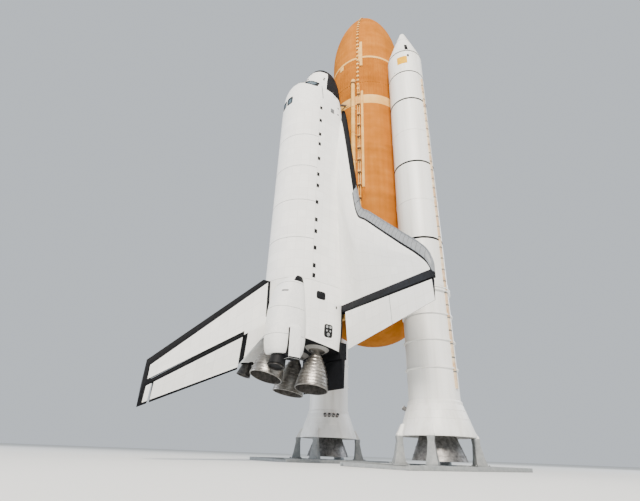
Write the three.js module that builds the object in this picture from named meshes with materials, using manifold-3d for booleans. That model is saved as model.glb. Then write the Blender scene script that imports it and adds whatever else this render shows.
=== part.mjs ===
// A space shuttle stack at half size: winged orbiter, external tank and two solid boosters,
// standing upright on the hold-down posts of its two boosters.
// Every length below is a real inch of the full-size vehicle. The exported group scales them
// to millimetres at half size, and its +Z axis points up, from the booster nozzles to the noses.
import * as THREE from "three";
import { mergeVertices } from "three/addons/utils/BufferGeometryUtils.js";
import Module from "manifold-3d";

const wasm = await Module();
wasm.setup();

// Scale and stations
const MILLIMETRES_PER_INCH = 25.4;
const MODEL_SCALE = 0.5;
const TANK_STATION_AT_FLOOR = 2552; // tank stations run down from the nose, in inches
const BOOSTER_STATION_OFFSET = 543; // tank station = booster station + this
const ORBITER_STATION_OFFSET = 741; // tank station = orbiter station + this
const ORBITER_AXIS_OFFSET = 63.5; // stack y = this - orbiter height
const SEAT_GAP = 0.03; // about 0.4 mm at half size, between pieces that rest on each other

// Roundness of the turned pieces
const TANK_SIDES = 32;
const BOOSTER_SIDES = 20;
const NOZZLE_SIDES = 16;
const ROD_SIDES = 8;

// External tank
const TANK_RADIUS = 166;
const OGIVE_RADIUS = 612;
const OGIVE_END = 745;
const TANK_NOSE_STATION = 371;
const SPIKE_TIP_STATION = 322.5;
const INTERTANK_START = 852.8;
const INTERTANK_END = 1129.9;
const INTERTANK_RIBS = 48;
const RIB_DEPTH = 1.6;
const TANK_BARREL_END = 2058;
const TANK_AFT_END = 2173;
const FEEDLINE_BEARING = -63; // degrees round the tank, 0 on the starboard side, -90 at the orbiter
const TRAY_BEARING = -55.5;
const PRESSURE_LINE_BEARING = -50.5;

// Boosters
const BOOSTER_SPACING = 250.5;
const BOOSTER_RADIUS = 73;
const BOOSTER_NOSE_STATION = 200;
const FRUSTUM_START = 275;
const FRUSTUM_END = 401;
const MOTOR_START = 531;
const MOTOR_END = 1837;
const AFT_SKIRT_END = 1930.6;
const AFT_SKIRT_RADIUS = 104;
const ATTACH_RING_STATION = 1511;
const NOZZLE_PIVOT_STATION = 1850;
const NOZZLE_EXIT_STATION = 1990;
const NOZZLE_EXIT_RADIUS = 75;
const TUNNEL_BEARING = 8; // degrees, mirrored on the port booster
const POST_CIRCLE_RADIUS = 110;
const POST_BEARINGS = [60, 120, 240, 300];

// Stand. The platform under such a stack is open below each booster, 20 feet by 42 feet.
const OPENING_HALF_WIDTH = 120;
const OPENING_HALF_LENGTH = 252;

// Orbiter
const BAY_START = 582;
const BAY_END = 1307;
const BAY_RADIUS = 93;
const BAY_AXIS_HEIGHT = 400;
const SILL_HEIGHT = 414;
const DOOR_THICKNESS = 5;
const ELEVON_HINGE_STATION = 1387;
const WING_TIP_Y = 468.3;
const BODY_FLAP_HINGE = { station: 1532, height: 284, noseRadius: 6 };
const GIMBALS = [
  { name: "upper", station: 1445, y: 0, height: 443, pitch: 16, splay: 0 },
  { name: "starboard", station: 1468, y: 53, height: 342.6, pitch: 10, splay: 3.5 },
  { name: "port", station: 1468, y: -53, height: 342.6, pitch: 10, splay: -3.5 },
];

// Finishes
const finish = (color, roughness, metalness = 0) =>
  new THREE.MeshStandardMaterial({ color, roughness, metalness });
const FOAM = finish(0xc07a3c, 0.95);
const PALE_FOAM = finish(0xdcb27c, 0.95);
const WHITE_PAINT = finish(0xe9e9e6, 0.55);
const WHITE_BLANKET = finish(0xe8e6e1, 0.85);
const BLACK_TILE = finish(0x1d1e22, 0.6);
const GREY_CARBON = finish(0x8b9299, 0.5);
const DARK_GLASS = finish(0x14181d, 0.1);
const STEEL = finish(0x9b9ea1, 0.35, 0.9);
const DARK_METAL = finish(0x4a4744, 0.5, 0.6);
const GREY_PAINT = finish(0x8a9294, 0.6);

// Vectors and turned shapes
const vec = (x, y, z) => new THREE.Vector3(x, y, z);
const radians = THREE.MathUtils.degToRad;
const lerp = THREE.MathUtils.lerp;

// A merged, outward-facing solid of any closed geometry.
function solidOf(geometry) {
  const bare = new THREE.BufferGeometry();
  bare.setAttribute("position", geometry.getAttribute("position"));
  if (geometry.index) bare.setIndex(geometry.index);
  const merged = mergeVertices(bare, 1e-4);
  const corner = merged.index.array;
  const at = merged.attributes.position.array;
  const faces = [];
  let volume = 0;
  for (let i = 0; i < corner.length; i += 3) {
    const [a, b, c] = [corner[i], corner[i + 1], corner[i + 2]];
    if (a === b || b === c || a === c) continue;
    faces.push(a, b, c);
    const [p, q, r] = [a, b, c].map((k) => vec(at[3 * k], at[3 * k + 1], at[3 * k + 2]));
    volume += p.dot(q.cross(r)) / 6;
  }
  if (volume < 0) {
    for (let i = 0; i < faces.length; i += 3) {
      [faces[i + 1], faces[i + 2]] = [faces[i + 2], faces[i + 1]];
    }
  }
  return new wasm.Manifold(
    new wasm.Mesh({ numProp: 3, vertProperties: at, triVerts: new Uint32Array(faces) }),
  );
}

function geometryOf(solid) {
  const mesh = solid.getMesh();
  const geometry = new THREE.BufferGeometry();
  geometry.setAttribute("position", new THREE.BufferAttribute(mesh.vertProperties, 3));
  geometry.setIndex(new THREE.BufferAttribute(mesh.triVerts, 1));
  geometry.computeVertexNormals();
  return geometry;
}

const join = (first, ...rest) =>
  geometryOf(rest.reduce((sum, g) => sum.add(solidOf(g)), solidOf(first)));
const cut = (base, ...tools) =>
  geometryOf(tools.reduce((left, g) => left.subtract(solidOf(g)), solidOf(base)));
const common = (a, b) => geometryOf(solidOf(a).intersect(solidOf(b)));

// A skin through rings of equal length, closed with a flat cap at each end.
function loft(rings) {
  const count = rings[0].length;
  const index = [];
  for (let i = 0; i < rings.length - 1; i++) {
    for (let j = 0; j < count; j++) {
      const a = i * count + j;
      const b = i * count + ((j + 1) % count);
      index.push(a, b, a + count, b, b + count, a + count);
    }
  }
  const cap = (ring, start, turned) => {
    const box = new THREE.Box3().setFromPoints(ring).getSize(vec(0, 0, 0));
    const thin = Math.min(box.x, box.y, box.z);
    const flat = ring.map((p) =>
      thin === box.x
        ? new THREE.Vector2(p.y, p.z)
        : thin === box.y
          ? new THREE.Vector2(p.z, p.x)
          : new THREE.Vector2(p.x, p.y),
    );
    const ordered = THREE.ShapeUtils.isClockWise(flat);
    if (ordered) flat.reverse();
    for (const face of THREE.ShapeUtils.triangulateShape(flat, [])) {
      const [a, b, c] = face.map((k) => start + (ordered ? count - 1 - k : k));
      const normal = ring[a - start]
        .clone()
        .sub(ring[b - start])
        .cross(ring[c - start].clone().sub(ring[b - start]));
      const outward = turned.clone().sub(ring[0]);
      if (normal.dot(outward) > 0) index.push(a, b, c);
      else index.push(a, c, b);
    }
  };
  const orient = loftTurn(rings);
  cap(rings[0], 0, orient ? rings[1][0] : rings[0][0].clone().multiplyScalar(2).sub(rings[1][0]));
  const last = rings.length - 1;
  const before = rings[last - 1][0];
  const end = rings[last][0];
  cap(rings[last], last * count, orient ? before : end.clone().multiplyScalar(2).sub(before));
  const geometry = new THREE.BufferGeometry();
  geometry.setAttribute(
    "position",
    new THREE.Float32BufferAttribute(rings.flat().flatMap((p) => [p.x, p.y, p.z]), 3),
  );
  geometry.setIndex(index);
  return geometry;
}

// True where the rings turn so that the caps face the same way as the skin only when reversed.
function loftTurn(rings) {
  const area = vec(0, 0, 0);
  const ring = rings[0];
  ring.forEach((p, i) => area.add(p.clone().cross(ring[(i + 1) % ring.length])));
  const along = rings[1][0].clone().sub(ring[0]);
  return area.dot(along) > 0;
}

// A profile of [radius, height] pairs turned round +Z.
function turned(profile, sides) {
  const points = profile.map(([radius, height]) => new THREE.Vector2(radius, height));
  return new THREE.LatheGeometry(points, sides).rotateX(Math.PI / 2);
}

const turnedBore = (radius, low, high, sides) =>
  turned([[0, low], [radius, low], [radius, high], [0, high]], sides);

function block(low, high) {
  const size = high.clone().sub(low);
  return new THREE.BoxGeometry(size.x, size.y, size.z).translate(
    (low.x + high.x) / 2,
    (low.y + high.y) / 2,
    (low.z + high.z) / 2,
  );
}

// Moves a shape built along +Z so that it starts at a point and runs along a direction.
function aim(geometry, from, direction) {
  const turn = new THREE.Quaternion().setFromUnitVectors(vec(0, 0, 1), direction.clone().normalize());
  return geometry.applyQuaternion(turn).translate(from.x, from.y, from.z);
}

function rod(from, to, radius, sides = ROD_SIDES) {
  const length = from.distanceTo(to);
  const bar = new THREE.CylinderGeometry(radius, radius, length, sides);
  return aim(bar.rotateX(Math.PI / 2).translate(0, 0, length / 2), from, to.clone().sub(from));
}

// A universal joint at the origin: its upper half turns about x, its lower half about y.
const JOINT_RADIUS = 5;
const JOINT_SIDES = 24;
const JOINT_CLEARANCE = 0.07;
function jointBlock(grow = 0) {
  const size = JOINT_RADIUS + grow;
  const barrel = () => new THREE.CylinderGeometry(size, size, 2 * JOINT_RADIUS, JOINT_SIDES);
  const half = (low, high) =>
    block(vec(-2 * size, -2 * size, low), vec(2 * size, 2 * size, high));
  const upper = common(barrel().rotateZ(Math.PI / 2), half(0, 2 * size));
  const lower = common(barrel(), half(-2 * size, 0.01));
  return { upper, lower, whole: join(upper, lower) };
}

// Full-length barrels a little larger than the joint's, which hollow out the sockets.
function socketBore(alongX) {
  const size = JOINT_RADIUS + JOINT_CLEARANCE;
  const bore = new THREE.CylinderGeometry(size, size, 6 * JOINT_RADIUS, JOINT_SIDES);
  return alongX ? bore.rotateZ(Math.PI / 2) : bore;
}

// Scene graph
const stack = new THREE.Group();
const tankFrame = new THREE.Group(); // x starboard, y away from the orbiter, z up from the floor
stack.add(tankFrame);
const orbiterFrame = new THREE.Group(); // x aft, y starboard, z up, as in the orbiter's own drawings
orbiterFrame.matrixAutoUpdate = false;
orbiterFrame.matrix
  .makeBasis(vec(0, 0, -1), vec(1, 0, 0), vec(0, -1, 0))
  .setPosition(0, ORBITER_AXIS_OFFSET, TANK_STATION_AT_FLOOR - ORBITER_STATION_OFFSET);
tankFrame.add(orbiterFrame);

function piece(frame, name, geometry, material) {
  const mesh = new THREE.Mesh(geometryOf(solidOf(geometry)), material);
  mesh.name = name;
  frame.add(mesh);
}

const tankHeight = (station) => TANK_STATION_AT_FLOOR - station;
const boosterHeight = (station) => tankHeight(station + BOOSTER_STATION_OFFSET);
const roundTank = (bearing, radius, station) =>
  vec(
    radius * Math.cos(radians(bearing)),
    radius * Math.sin(radians(bearing)),
    tankHeight(station),
  );

// External tank
function ogiveRadius(station) {
  const back = OGIVE_END - station;
  return Math.sqrt(OGIVE_RADIUS ** 2 - back ** 2) - (OGIVE_RADIUS - TANK_RADIUS);
}

const OGIVE_STEPS = 8;
const ogiveStations = Array.from({ length: OGIVE_STEPS + 1 }, (_, i) =>
  lerp(TANK_NOSE_STATION, OGIVE_END, i / OGIVE_STEPS),
);

function oxygenTank() {
  const profile = [[0, tankHeight(TANK_NOSE_STATION)]];
  for (const station of ogiveStations) profile.push([ogiveRadius(station), tankHeight(station)]);
  const bottom = tankHeight(INTERTANK_START - SEAT_GAP);
  profile.push([TANK_RADIUS, bottom], [0, bottom]);
  return turned(profile, TANK_SIDES);
}

// The oxygen tank with a little clearance, to trim the tray that lies on it.
function oxygenTankClearance() {
  const profile = [[0, tankHeight(TANK_NOSE_STATION)]];
  for (const station of ogiveStations) {
    profile.push([ogiveRadius(station) + 2 * SEAT_GAP, tankHeight(station)]);
  }
  profile.push([0, tankHeight(OGIVE_END)]);
  return turned(profile, TANK_SIDES);
}

function tankNose() {
  const seat = tankHeight(TANK_NOSE_STATION - SEAT_GAP);
  const shoulder = ogiveRadius(TANK_NOSE_STATION);
  const spikeBase = 30;
  const profile = [
    [0, seat],
    [shoulder, seat],
    [shoulder * 0.62, seat + 16],
    [5, seat + spikeBase],
    [3, seat + spikeBase + 2],
    [1.2, tankHeight(SPIKE_TIP_STATION)],
    [0, tankHeight(SPIKE_TIP_STATION)],
  ];
  return turned(profile, 16);
}

// The ribbed ring between the two propellant tanks.
function intertank() {
  const outline = new THREE.Shape();
  const steps = INTERTANK_RIBS * 4;
  for (let i = 0; i < steps; i++) {
    const raised = i % 4 === 1 || i % 4 === 2;
    const radius = TANK_RADIUS - (raised ? 0 : RIB_DEPTH);
    const angle = ((i + 0.5) / steps) * 2 * Math.PI;
    const [x, y] = [radius * Math.cos(angle), radius * Math.sin(angle)];
    if (i === 0) outline.moveTo(x, y);
    else outline.lineTo(x, y);
  }
  const bottom = tankHeight(INTERTANK_END - SEAT_GAP);
  const height = tankHeight(INTERTANK_START) - bottom;
  const ribbed = new THREE.ExtrudeGeometry(outline, { depth: height, bevelEnabled: false });
  return ribbed.translate(0, 0, bottom);
}

const AFT_DOME_STEPS = 6;
function hydrogenTank() {
  const profile = [
    [0, tankHeight(INTERTANK_END)],
    [TANK_RADIUS, tankHeight(INTERTANK_END)],
  ];
  for (let i = 0; i <= AFT_DOME_STEPS; i++) {
    const turn = (i / AFT_DOME_STEPS) * (Math.PI / 2);
    const station = TANK_BARREL_END + (TANK_AFT_END - TANK_BARREL_END) * Math.sin(turn);
    profile.push([i === AFT_DOME_STEPS ? 0 : TANK_RADIUS * Math.cos(turn), tankHeight(station)]);
  }
  return turned(profile, TANK_SIDES);
}

// Plain cylinders that clear everything inside the tank's skin, with a finer one over the ribs.
function insideTank() {
  const [low, high] = [tankHeight(TANK_BARREL_END), tankHeight(OGIVE_END)];
  const [ribLow, ribHigh] = [tankHeight(INTERTANK_END + 1), tankHeight(INTERTANK_START - 1)];
  return join(
    turnedBore(TANK_RADIUS + SEAT_GAP, low, high, TANK_SIDES),
    turnedBore(TANK_RADIUS + 0.15, ribLow, ribHigh, 96),
  );
}

const FEEDLINE_RADIUS = 9.5;
const FEEDLINE_STANDOFF = 14;
const FEEDLINE_TOP = 1010;
const FEEDLINE_BOTTOM = 2070;
const ORBITER_BELLY_Y = -204.5;
const UMBILICAL_X = 68;
const UMBILICAL_STATION = 2112;

// A disconnect plate on the orbiter's belly.
function umbilicalPlate(side) {
  const [x, half] = [side * UMBILICAL_X, 19];
  return block(
    vec(x - half, ORBITER_BELLY_Y + SEAT_GAP, tankHeight(UMBILICAL_STATION + 24)),
    vec(x + half, ORBITER_BELLY_Y + 22, tankHeight(UMBILICAL_STATION - 24)),
  );
}

function oxygenFeedline() {
  const run = TANK_RADIUS + FEEDLINE_STANDOFF;
  const top = roundTank(FEEDLINE_BEARING, run, FEEDLINE_TOP);
  const bottom = roundTank(FEEDLINE_BEARING, run, FEEDLINE_BOTTOM);
  const parts = [
    rod(top, bottom, FEEDLINE_RADIUS, 12),
    rod(roundTank(FEEDLINE_BEARING, TANK_RADIUS - 6, FEEDLINE_TOP - 12), top, FEEDLINE_RADIUS, 12),
    rod(bottom, vec(UMBILICAL_X, ORBITER_BELLY_Y + 20, tankHeight(UMBILICAL_STATION - 8)), FEEDLINE_RADIUS, 12),
    new THREE.SphereGeometry(FEEDLINE_RADIUS, 12, 6).translate(bottom.x, bottom.y, bottom.z),
    new THREE.SphereGeometry(FEEDLINE_RADIUS + 1.5, 12, 6).translate(top.x, top.y, top.z),
    umbilicalPlate(1),
  ];
  for (let station = 1180; station < FEEDLINE_BOTTOM; station += 145) {
    const foot = roundTank(FEEDLINE_BEARING, TANK_RADIUS - 4, station);
    parts.push(rod(foot, roundTank(FEEDLINE_BEARING, run, station), 3.5, 6));
  }
  return cut(join(...parts), insideTank());
}

function hydrogenUmbilical() {
  const elbow = vec(-UMBILICAL_X, ORBITER_BELLY_Y + 20, tankHeight(UMBILICAL_STATION + 6));
  const tankEnd = vec(-UMBILICAL_X + 14, -128, tankHeight(UMBILICAL_STATION + 12));
  const whole = join(umbilicalPlate(-1), rod(elbow, tankEnd, FEEDLINE_RADIUS, 12));
  return cut(whole, growTankEnd());
}

// The tank's aft dome with a little clearance, to trim what lands on it.
function growTankEnd() {
  const dome = hydrogenTank();
  const centre = tankHeight(TANK_BARREL_END);
  const grow = 1 + SEAT_GAP / 100;
  return dome.translate(0, 0, -centre).scale(grow, grow, grow).translate(0, 0, centre);
}

const TRAY_HEIGHT = 4;
const TRAY_STANDOFF = 3.5;

// A square duct that follows the tank's side at one bearing, through [station, radius] pairs.
function duct(bearing, path, width, height) {
  const turn = radians(bearing);
  const across = vec(-Math.sin(turn), Math.cos(turn), 0).multiplyScalar(width / 2);
  const rings = path.map(([station, radius]) => {
    const inner = roundTank(bearing, radius, station);
    const outer = roundTank(bearing, radius + height, station);
    return [
      inner.clone().sub(across),
      inner.clone().add(across),
      outer.clone().add(across),
      outer.clone().sub(across),
    ];
  });
  return loft(rings);
}

// Cable tray and gas line down the hydrogen tank, on shared brackets.
function hydrogenTray() {
  const seat = TANK_RADIUS + TRAY_STANDOFF;
  const [start, end] = [1100, 2040];
  const parts = [
    duct(TRAY_BEARING, [[start, seat], [end, seat]], 9, TRAY_HEIGHT),
    rod(
      roundTank(PRESSURE_LINE_BEARING, seat + 2, start - 60),
      roundTank(PRESSURE_LINE_BEARING, seat + 2, end),
      2.2,
      6,
    ),
  ];
  for (let station = start + 12; station < end; station += 57) {
    const edges = [TRAY_BEARING - 2.4, PRESSURE_LINE_BEARING + 1].map((bearing) => [
      roundTank(bearing, TANK_RADIUS - 3, station),
      roundTank(bearing, seat + 2, station),
    ]);
    const [[a, b], [d, c]] = edges;
    const lift = vec(0, 0, 2.5);
    parts.push(loft([[a, b, c, d], [a, b, c, d].map((p) => p.clone().add(lift))]));
  }
  return cut(join(...parts), insideTank());
}

// Cable tray over the ogive and the intertank, with the pale ramp beside it.
function oxygenTray() {
  const seat = TANK_RADIUS - 1.5;
  const path = ogiveStations.slice(0, -1).map((station) => [station, ogiveRadius(station) - 1.5]);
  path.push([OGIVE_END, seat], [1084, seat]);
  const ramp = duct(
    PRESSURE_LINE_BEARING - 0.5,
    [[746, seat], [912, seat]],
    13,
    6.5,
  );
  const web = duct(
    (TRAY_BEARING + PRESSURE_LINE_BEARING) / 2,
    [[780, seat], [880, seat]],
    16,
    4,
  );
  const tray = duct(TRAY_BEARING - 1, path, 7, TRAY_HEIGHT + 1.5);
  return cut(join(tray, ramp, web), insideTank(), oxygenTankClearance());
}

const BIPOD_APEX = vec(0, -219, tankHeight(INTERTANK_END));
function forwardBipod() {
  const feet = [-1, 1].map((side) => vec(side * 42, -158, tankHeight(INTERTANK_END + 4)));
  const parts = feet.map((foot) => rod(foot, BIPOD_APEX, 4.5, 10));
  for (const foot of feet) {
    parts.push(block(foot.clone().sub(vec(8, 6, 9)), foot.clone().add(vec(8, 3, 9))));
  }
  const spindleEnd = vec(0, -240, BIPOD_APEX.z);
  parts.push(rod(vec(0, -212, BIPOD_APEX.z), spindleEnd, 6, 10));
  return cut(join(...parts), insideTank(), insideOrbiter());
}

const AFT_ATTACH = { x: 96.5, y: -196, station: 2058 };
function aftAttachFrame() {
  const height = tankHeight(AFT_ATTACH.station);
  const beam = block(
    vec(-AFT_ATTACH.x, AFT_ATTACH.y + 3, height - 6),
    vec(AFT_ATTACH.x, AFT_ATTACH.y + 15, height + 6),
  );
  const parts = [beam];
  for (const side of [-1, 1]) {
    const ball = vec(side * AFT_ATTACH.x, AFT_ATTACH.y + 2, height);
    parts.push(
      rod(ball, vec(side * 112, -100, height), 6),
      rod(ball, vec(side * 132, -100, tankHeight(1885)), 6),
      rod(ball, vec(ball.x, ORBITER_BELLY_Y + 2 * SEAT_GAP, height), 8),
    );
  }
  parts.push(rod(vec(-AFT_ATTACH.x, AFT_ATTACH.y + 6, height), vec(50, -138, height - 0.5), 5));
  return cut(join(...parts), insideTank(), growTankEnd());
}

// Orbiter hull, one row for each station, in inches
const HULL_ROWS = [
  // station, halfWidth, wideAt, top, topPower, belly, bellyPower
  [239.5, 9, 341, 350, 2, 332, 2],
  [244, 20, 340, 361, 2, 321, 2.1],
  [253, 32, 339, 375, 2, 310.5, 2.3],
  [266, 43, 337, 387, 2, 303, 2.5],
  [290, 56, 335, 401, 2, 296.5, 2.8],
  [330, 71, 332, 417, 2, 291.5, 3],
  [376, 83, 331, 433, 2.05, 288, 3.2],
  [396, 87, 334, 456, 2.05, 287, 3.3],
  [420, 91, 340, 479, 2.1, 285.5, 3.5],
  [445, 95, 348, 492, 2.15, 284, 3.7],
  [480, 99, 362, 500, 2.15, 282, 4],
  [530, 103, 384, 503, 2.1, 279, 4.8],
  [582, 105, 400, 503, 2, 276, 5.6],
  [700, 105, 400, 503, 2, 271, 6],
  [900, 105, 400, 503, 2, 268, 6],
  [1307, 105, 400, 503, 2, 268, 6],
  [1420, 105, 400, 501, 2.1, 268, 6],
  [1512, 101, 398, 494, 2.2, 269, 5],
];
const NOSE_CAP_END = 262;
const UPPER_STEPS = 9;
const LOWER_STEPS = 6;

function hullAt(station) {
  let i = HULL_ROWS.findIndex((row) => row[0] >= station);
  if (i < 0) i = HULL_ROWS.length - 1;
  if (i === 0) i = 1;
  const share = (station - HULL_ROWS[i - 1][0]) / (HULL_ROWS[i][0] - HULL_ROWS[i - 1][0]);
  const value = (column) => lerp(HULL_ROWS[i - 1][column], HULL_ROWS[i][column], Math.min(share, 1));
  return {
    halfWidth: value(1),
    wideAt: value(2),
    top: value(3),
    topPower: value(4),
    belly: value(5),
    bellyPower: value(6),
  };
}

// One ring of the hull, from the top round the starboard side; grow moves it outwards.
function hullRing(station, grow = 0, slant = 0) {
  const h = hullAt(station);
  const half = [];
  for (let i = 0; i <= UPPER_STEPS; i++) {
    const t = (i / UPPER_STEPS) * (Math.PI / 2);
    half.push([
      (h.halfWidth + grow) * Math.sin(t) ** (2 / h.topPower),
      h.wideAt + (h.top + grow - h.wideAt) * Math.max(Math.cos(t), 0) ** (2 / h.topPower),
    ]);
  }
  for (let i = 1; i <= LOWER_STEPS; i++) {
    const t = (i / LOWER_STEPS) * (Math.PI / 2);
    half.push([
      (h.halfWidth + grow) * Math.max(Math.cos(t), 0) ** (2 / h.bellyPower),
      h.wideAt - (h.wideAt - h.belly + grow) * Math.sin(t) ** (2 / h.bellyPower),
    ]);
  }
  const port = half.slice(1, -1).reverse();
  return [...half, ...port.map(([y, z]) => [-y, z])].map(([y, z]) =>
    vec(station - slant * (z - 268), y, z),
  );
}

function hullLoft(from, to, grow = 0, endSlant = 0) {
  const between = HULL_ROWS.map((row) => row[0]).filter((s) => s > from + 1 && s < to - 1);
  const rings = [from, ...between].map((s) => hullRing(s, grow));
  rings.push(hullRing(to, grow, endSlant));
  return loft(rings);
}

// The whole hull with a little clearance, in the orbiter's frame and in the tank's.
const hullClearance = () => hullLoft(HULL_ROWS[3][0], BASE_STATION + 0.1, SEAT_GAP, BASE_SLANT);
const insideOrbiter = () => hullClearance().applyMatrix4(orbiterFrame.matrix);

const BASE_STATION = 1512;
const BASE_SLANT = 0.1466; // the engine bulkhead leans forward towards the top

const noseCap = () => hullLoft(HULL_ROWS[0][0], NOSE_CAP_END - SEAT_GAP);

// Cabin windows: corners as [station, y], on the starboard side and mirrored to port
const WINDOW_ROWS = [
  // name, then four corners round the pane
  ["front", [[392, 4], [391, 28], [414, 31], [421, 4]]],
  ["middle", [[393, 33], [400, 52], [425, 50], [417, 35]]],
  ["side", [[407, 60], [419, 79], [446, 82], [434, 59]]],
  ["overhead", [[518, 7], [518, 29], [546, 29], [546, 7]]],
];
const WALL = 9;

function hullTopHeight(station, y) {
  const h = hullAt(station);
  const share = Math.min(Math.abs(y) / h.halfWidth, 1) ** h.topPower;
  return h.wideAt + (h.top - h.wideAt) * (1 - share) ** (1 / h.topPower);
}

// A four-sided plug through the hull at a window; each end is that far along the outward normal.
function windowPlug(corners, side, inward, outward, inset = 0) {
  const centre = vec(0, 0, 0);
  const points = corners.map(([station, y]) => vec(station, side * y, hullTopHeight(station, y)));
  points.forEach((p) => centre.addScaledVector(p, 1 / points.length));
  const normal = points[2].clone().sub(points[0]).cross(points[3].clone().sub(points[1])).normalize();
  if (normal.z < 0) normal.negate();
  const ring = (distance) =>
    points.map((p) => p.clone().lerp(centre, inset).addScaledVector(normal, distance));
  return loft([ring(-inward), ring(outward)]);
}

const CABIN_START = 384;
const CABIN_END = 572;
const DECK = { low: 396, high: 401 };
const HATCH = { station: 503, height: 352, faceY: 101, radius: 20, taper: 0.33 };

function cabinSpace() {
  const space = hullLoft(CABIN_START, CABIN_END, -WALL);
  const deck = block(vec(430, -120, DECK.low), vec(CABIN_END, 120, DECK.high));
  const ladderWell = block(vec(520, 20, DECK.low - 1), vec(552, 60, DECK.high + 1));
  const underFloor = block(vec(CABIN_START - 1, -120, 250), vec(CABIN_END + 1, 120, 306));
  return cut(space, cut(deck, ladderWell), underFloor);
}

// The round side hatch tapers inwards, so that it can swing out of its frame.
function hatchPlug(grow) {
  const radiusAt = (out) => HATCH.radius + grow + HATCH.taper * (out - HATCH.faceY);
  const [inner, outer] = [60, 120];
  const cone = turned(
    [[0, 0], [radiusAt(inner), 0], [radiusAt(outer), outer - inner], [0, outer - inner]],
    20,
  );
  return aim(cone, vec(HATCH.station, -inner, HATCH.height), vec(0, -1, 0));
}

function forwardFuselage() {
  const shell = hullLoft(NOSE_CAP_END, BAY_START - 1 - SEAT_GAP);
  const openings = [];
  for (const [, corners] of WINDOW_ROWS) {
    for (const side of [-1, 1]) openings.push(windowPlug(corners, side, 14, 12));
  }
  return cut(shell, cabinSpace(), hatchPlug(0.05), ...openings);
}

// One sheet of glass behind the six windshield openings, and one behind the two overhead ones.
function glassBand(from, to, reach) {
  const skin = cut(
    hullLoft(CABIN_START, CABIN_END, -WALL - SEAT_GAP),
    hullLoft(CABIN_START, CABIN_END, -WALL - SEAT_GAP - 1.2),
  );
  return common(skin, block(vec(from, -reach, 402), vec(to, reach, 520)));
}

const crewHatch = () =>
  common(
    cut(hullLoft(470, 540), hullLoft(460, 550, -WALL)),
    hatchPlug(0),
  );

function midFuselage() {
  const trough = common(
    hullLoft(BAY_START - 1, BAY_END - 1),
    block(vec(500, -120, 200), vec(1400, 120, SILL_HEIGHT - SEAT_GAP)),
  );
  const bay = new THREE.CylinderGeometry(BAY_RADIUS, BAY_RADIUS, 800, 32)
    .rotateZ(Math.PI / 2)
    .translate((BAY_START + BAY_END) / 2, 0, BAY_AXIS_HEIGHT);
  return cut(trough, bay);
}

const DOOR_STEPS = 12;
function bayDoor(side) {
  const h = hullAt(BAY_START);
  const outline = new THREE.Shape();
  const arc = (grow) => {
    const lowest = Math.acos((SILL_HEIGHT - h.wideAt) / (h.top - h.wideAt + grow));
    return Array.from({ length: DOOR_STEPS + 1 }, (_, i) => {
      const t = lerp(0.001, lowest, i / DOOR_STEPS);
      return [(h.halfWidth + grow) * Math.sin(t), h.wideAt + (h.top - h.wideAt + grow) * Math.cos(t)];
    });
  };
  const points = [...arc(0), ...arc(-DOOR_THICKNESS).reverse()];
  points.forEach(([y, z], i) => {
    const across = side * Math.max(y, SEAT_GAP);
    if (i === 0) outline.moveTo(across, z);
    else outline.lineTo(across, z);
  });
  const length = BAY_END - BAY_START - 2 * SEAT_GAP;
  const door = new THREE.ExtrudeGeometry(outline, { depth: length, bevelEnabled: false });
  // The extrusion's own x, y and z become the orbiter's y, z and x.
  const turn = new THREE.Matrix4().makeBasis(vec(0, 1, 0), vec(0, 0, 1), vec(1, 0, 0));
  return door.applyMatrix4(turn).translate(BAY_START - 1 + SEAT_GAP, 0, 0);
}

// Engines: a frame at each gimbal whose +Z runs aft along the engine
function engineMatrix(gimbal) {
  const [pitch, splay] = [radians(gimbal.pitch), radians(gimbal.splay)];
  const aft = vec(
    Math.cos(pitch) * Math.cos(splay),
    Math.sin(splay),
    Math.sin(pitch) * Math.cos(splay),
  ).normalize();
  const pitchAxis = vec(0, 0, 1).cross(aft).normalize();
  const yawAxis = pitchAxis.clone().cross(aft);
  return new THREE.Matrix4()
    .makeBasis(yawAxis, pitchAxis, aft)
    .setPosition(gimbal.station, gimbal.y, gimbal.height);
}

const DOME = { inner: 48.5, outer: 51, openingAngle: 30 };
function aftFuselage() {
  const hull = hullLoft(BAY_END, BASE_STATION, 0, BASE_SLANT);
  const shelf = block(vec(1480, -100, 270), vec(BODY_FLAP_HINGE.station - 3, 100, 294));
  let body = join(hull, shelf, ...GIMBALS.map((g) => domeSphere(g, DOME.outer)));
  const tools = [];
  const bosses = [];
  for (const gimbal of GIMBALS) {
    const matrix = engineMatrix(gimbal);
    const reach = 90;
    const mouth = turned(
      [[0, 1], [reach * Math.tan(radians(DOME.openingAngle)), reach], [0, reach]],
      NOZZLE_SIDES,
    );
    tools.push(domeSphere(gimbal, DOME.inner), mouth.applyMatrix4(matrix));
    const boss = turned([[0, -DOME.inner - 2], [8, -DOME.inner - 2], [6.5, -1], [0, -1]], 12);
    bosses.push(cut(boss, socketBore(true)).applyMatrix4(matrix));
  }
  body = cut(body, ...tools);
  return join(body, ...bosses);
}

const domeSphere = (gimbal, radius) =>
  new THREE.SphereGeometry(radius, 16, 8)
    .rotateX(Math.PI / 2)
    .translate(gimbal.station, gimbal.y, gimbal.height);

// Main engine, from its gimbal block to the nozzle's lip
const BELL_OUTSIDE = [[10.5, 44.3], [16, 56], [26, 75], [35, 98], [42, 122], [45.5, 142], [47, 157]];
function mainEngine() {
  const inside = BELL_OUTSIDE.slice(1)
    .reverse()
    .map(([radius, along]) => [radius - 1.6, along]);
  inside[0][1] = 157;
  const profile = [
    [0, 1],
    [6.5, 1],
    [6.5, 10],
    [25, 12],
    [25, 33],
    [8, 39],
    [8, 42.7],
    [18, 39.6],
    [29.9, 31.6],
    [31.3, 33],
    [19, 41.3],
    ...BELL_OUTSIDE,
    ...inside,
    [5, 50],
    [0, 50],
  ];
  return cut(turned(profile, NOZZLE_SIDES), socketBore(false));
}

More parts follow.
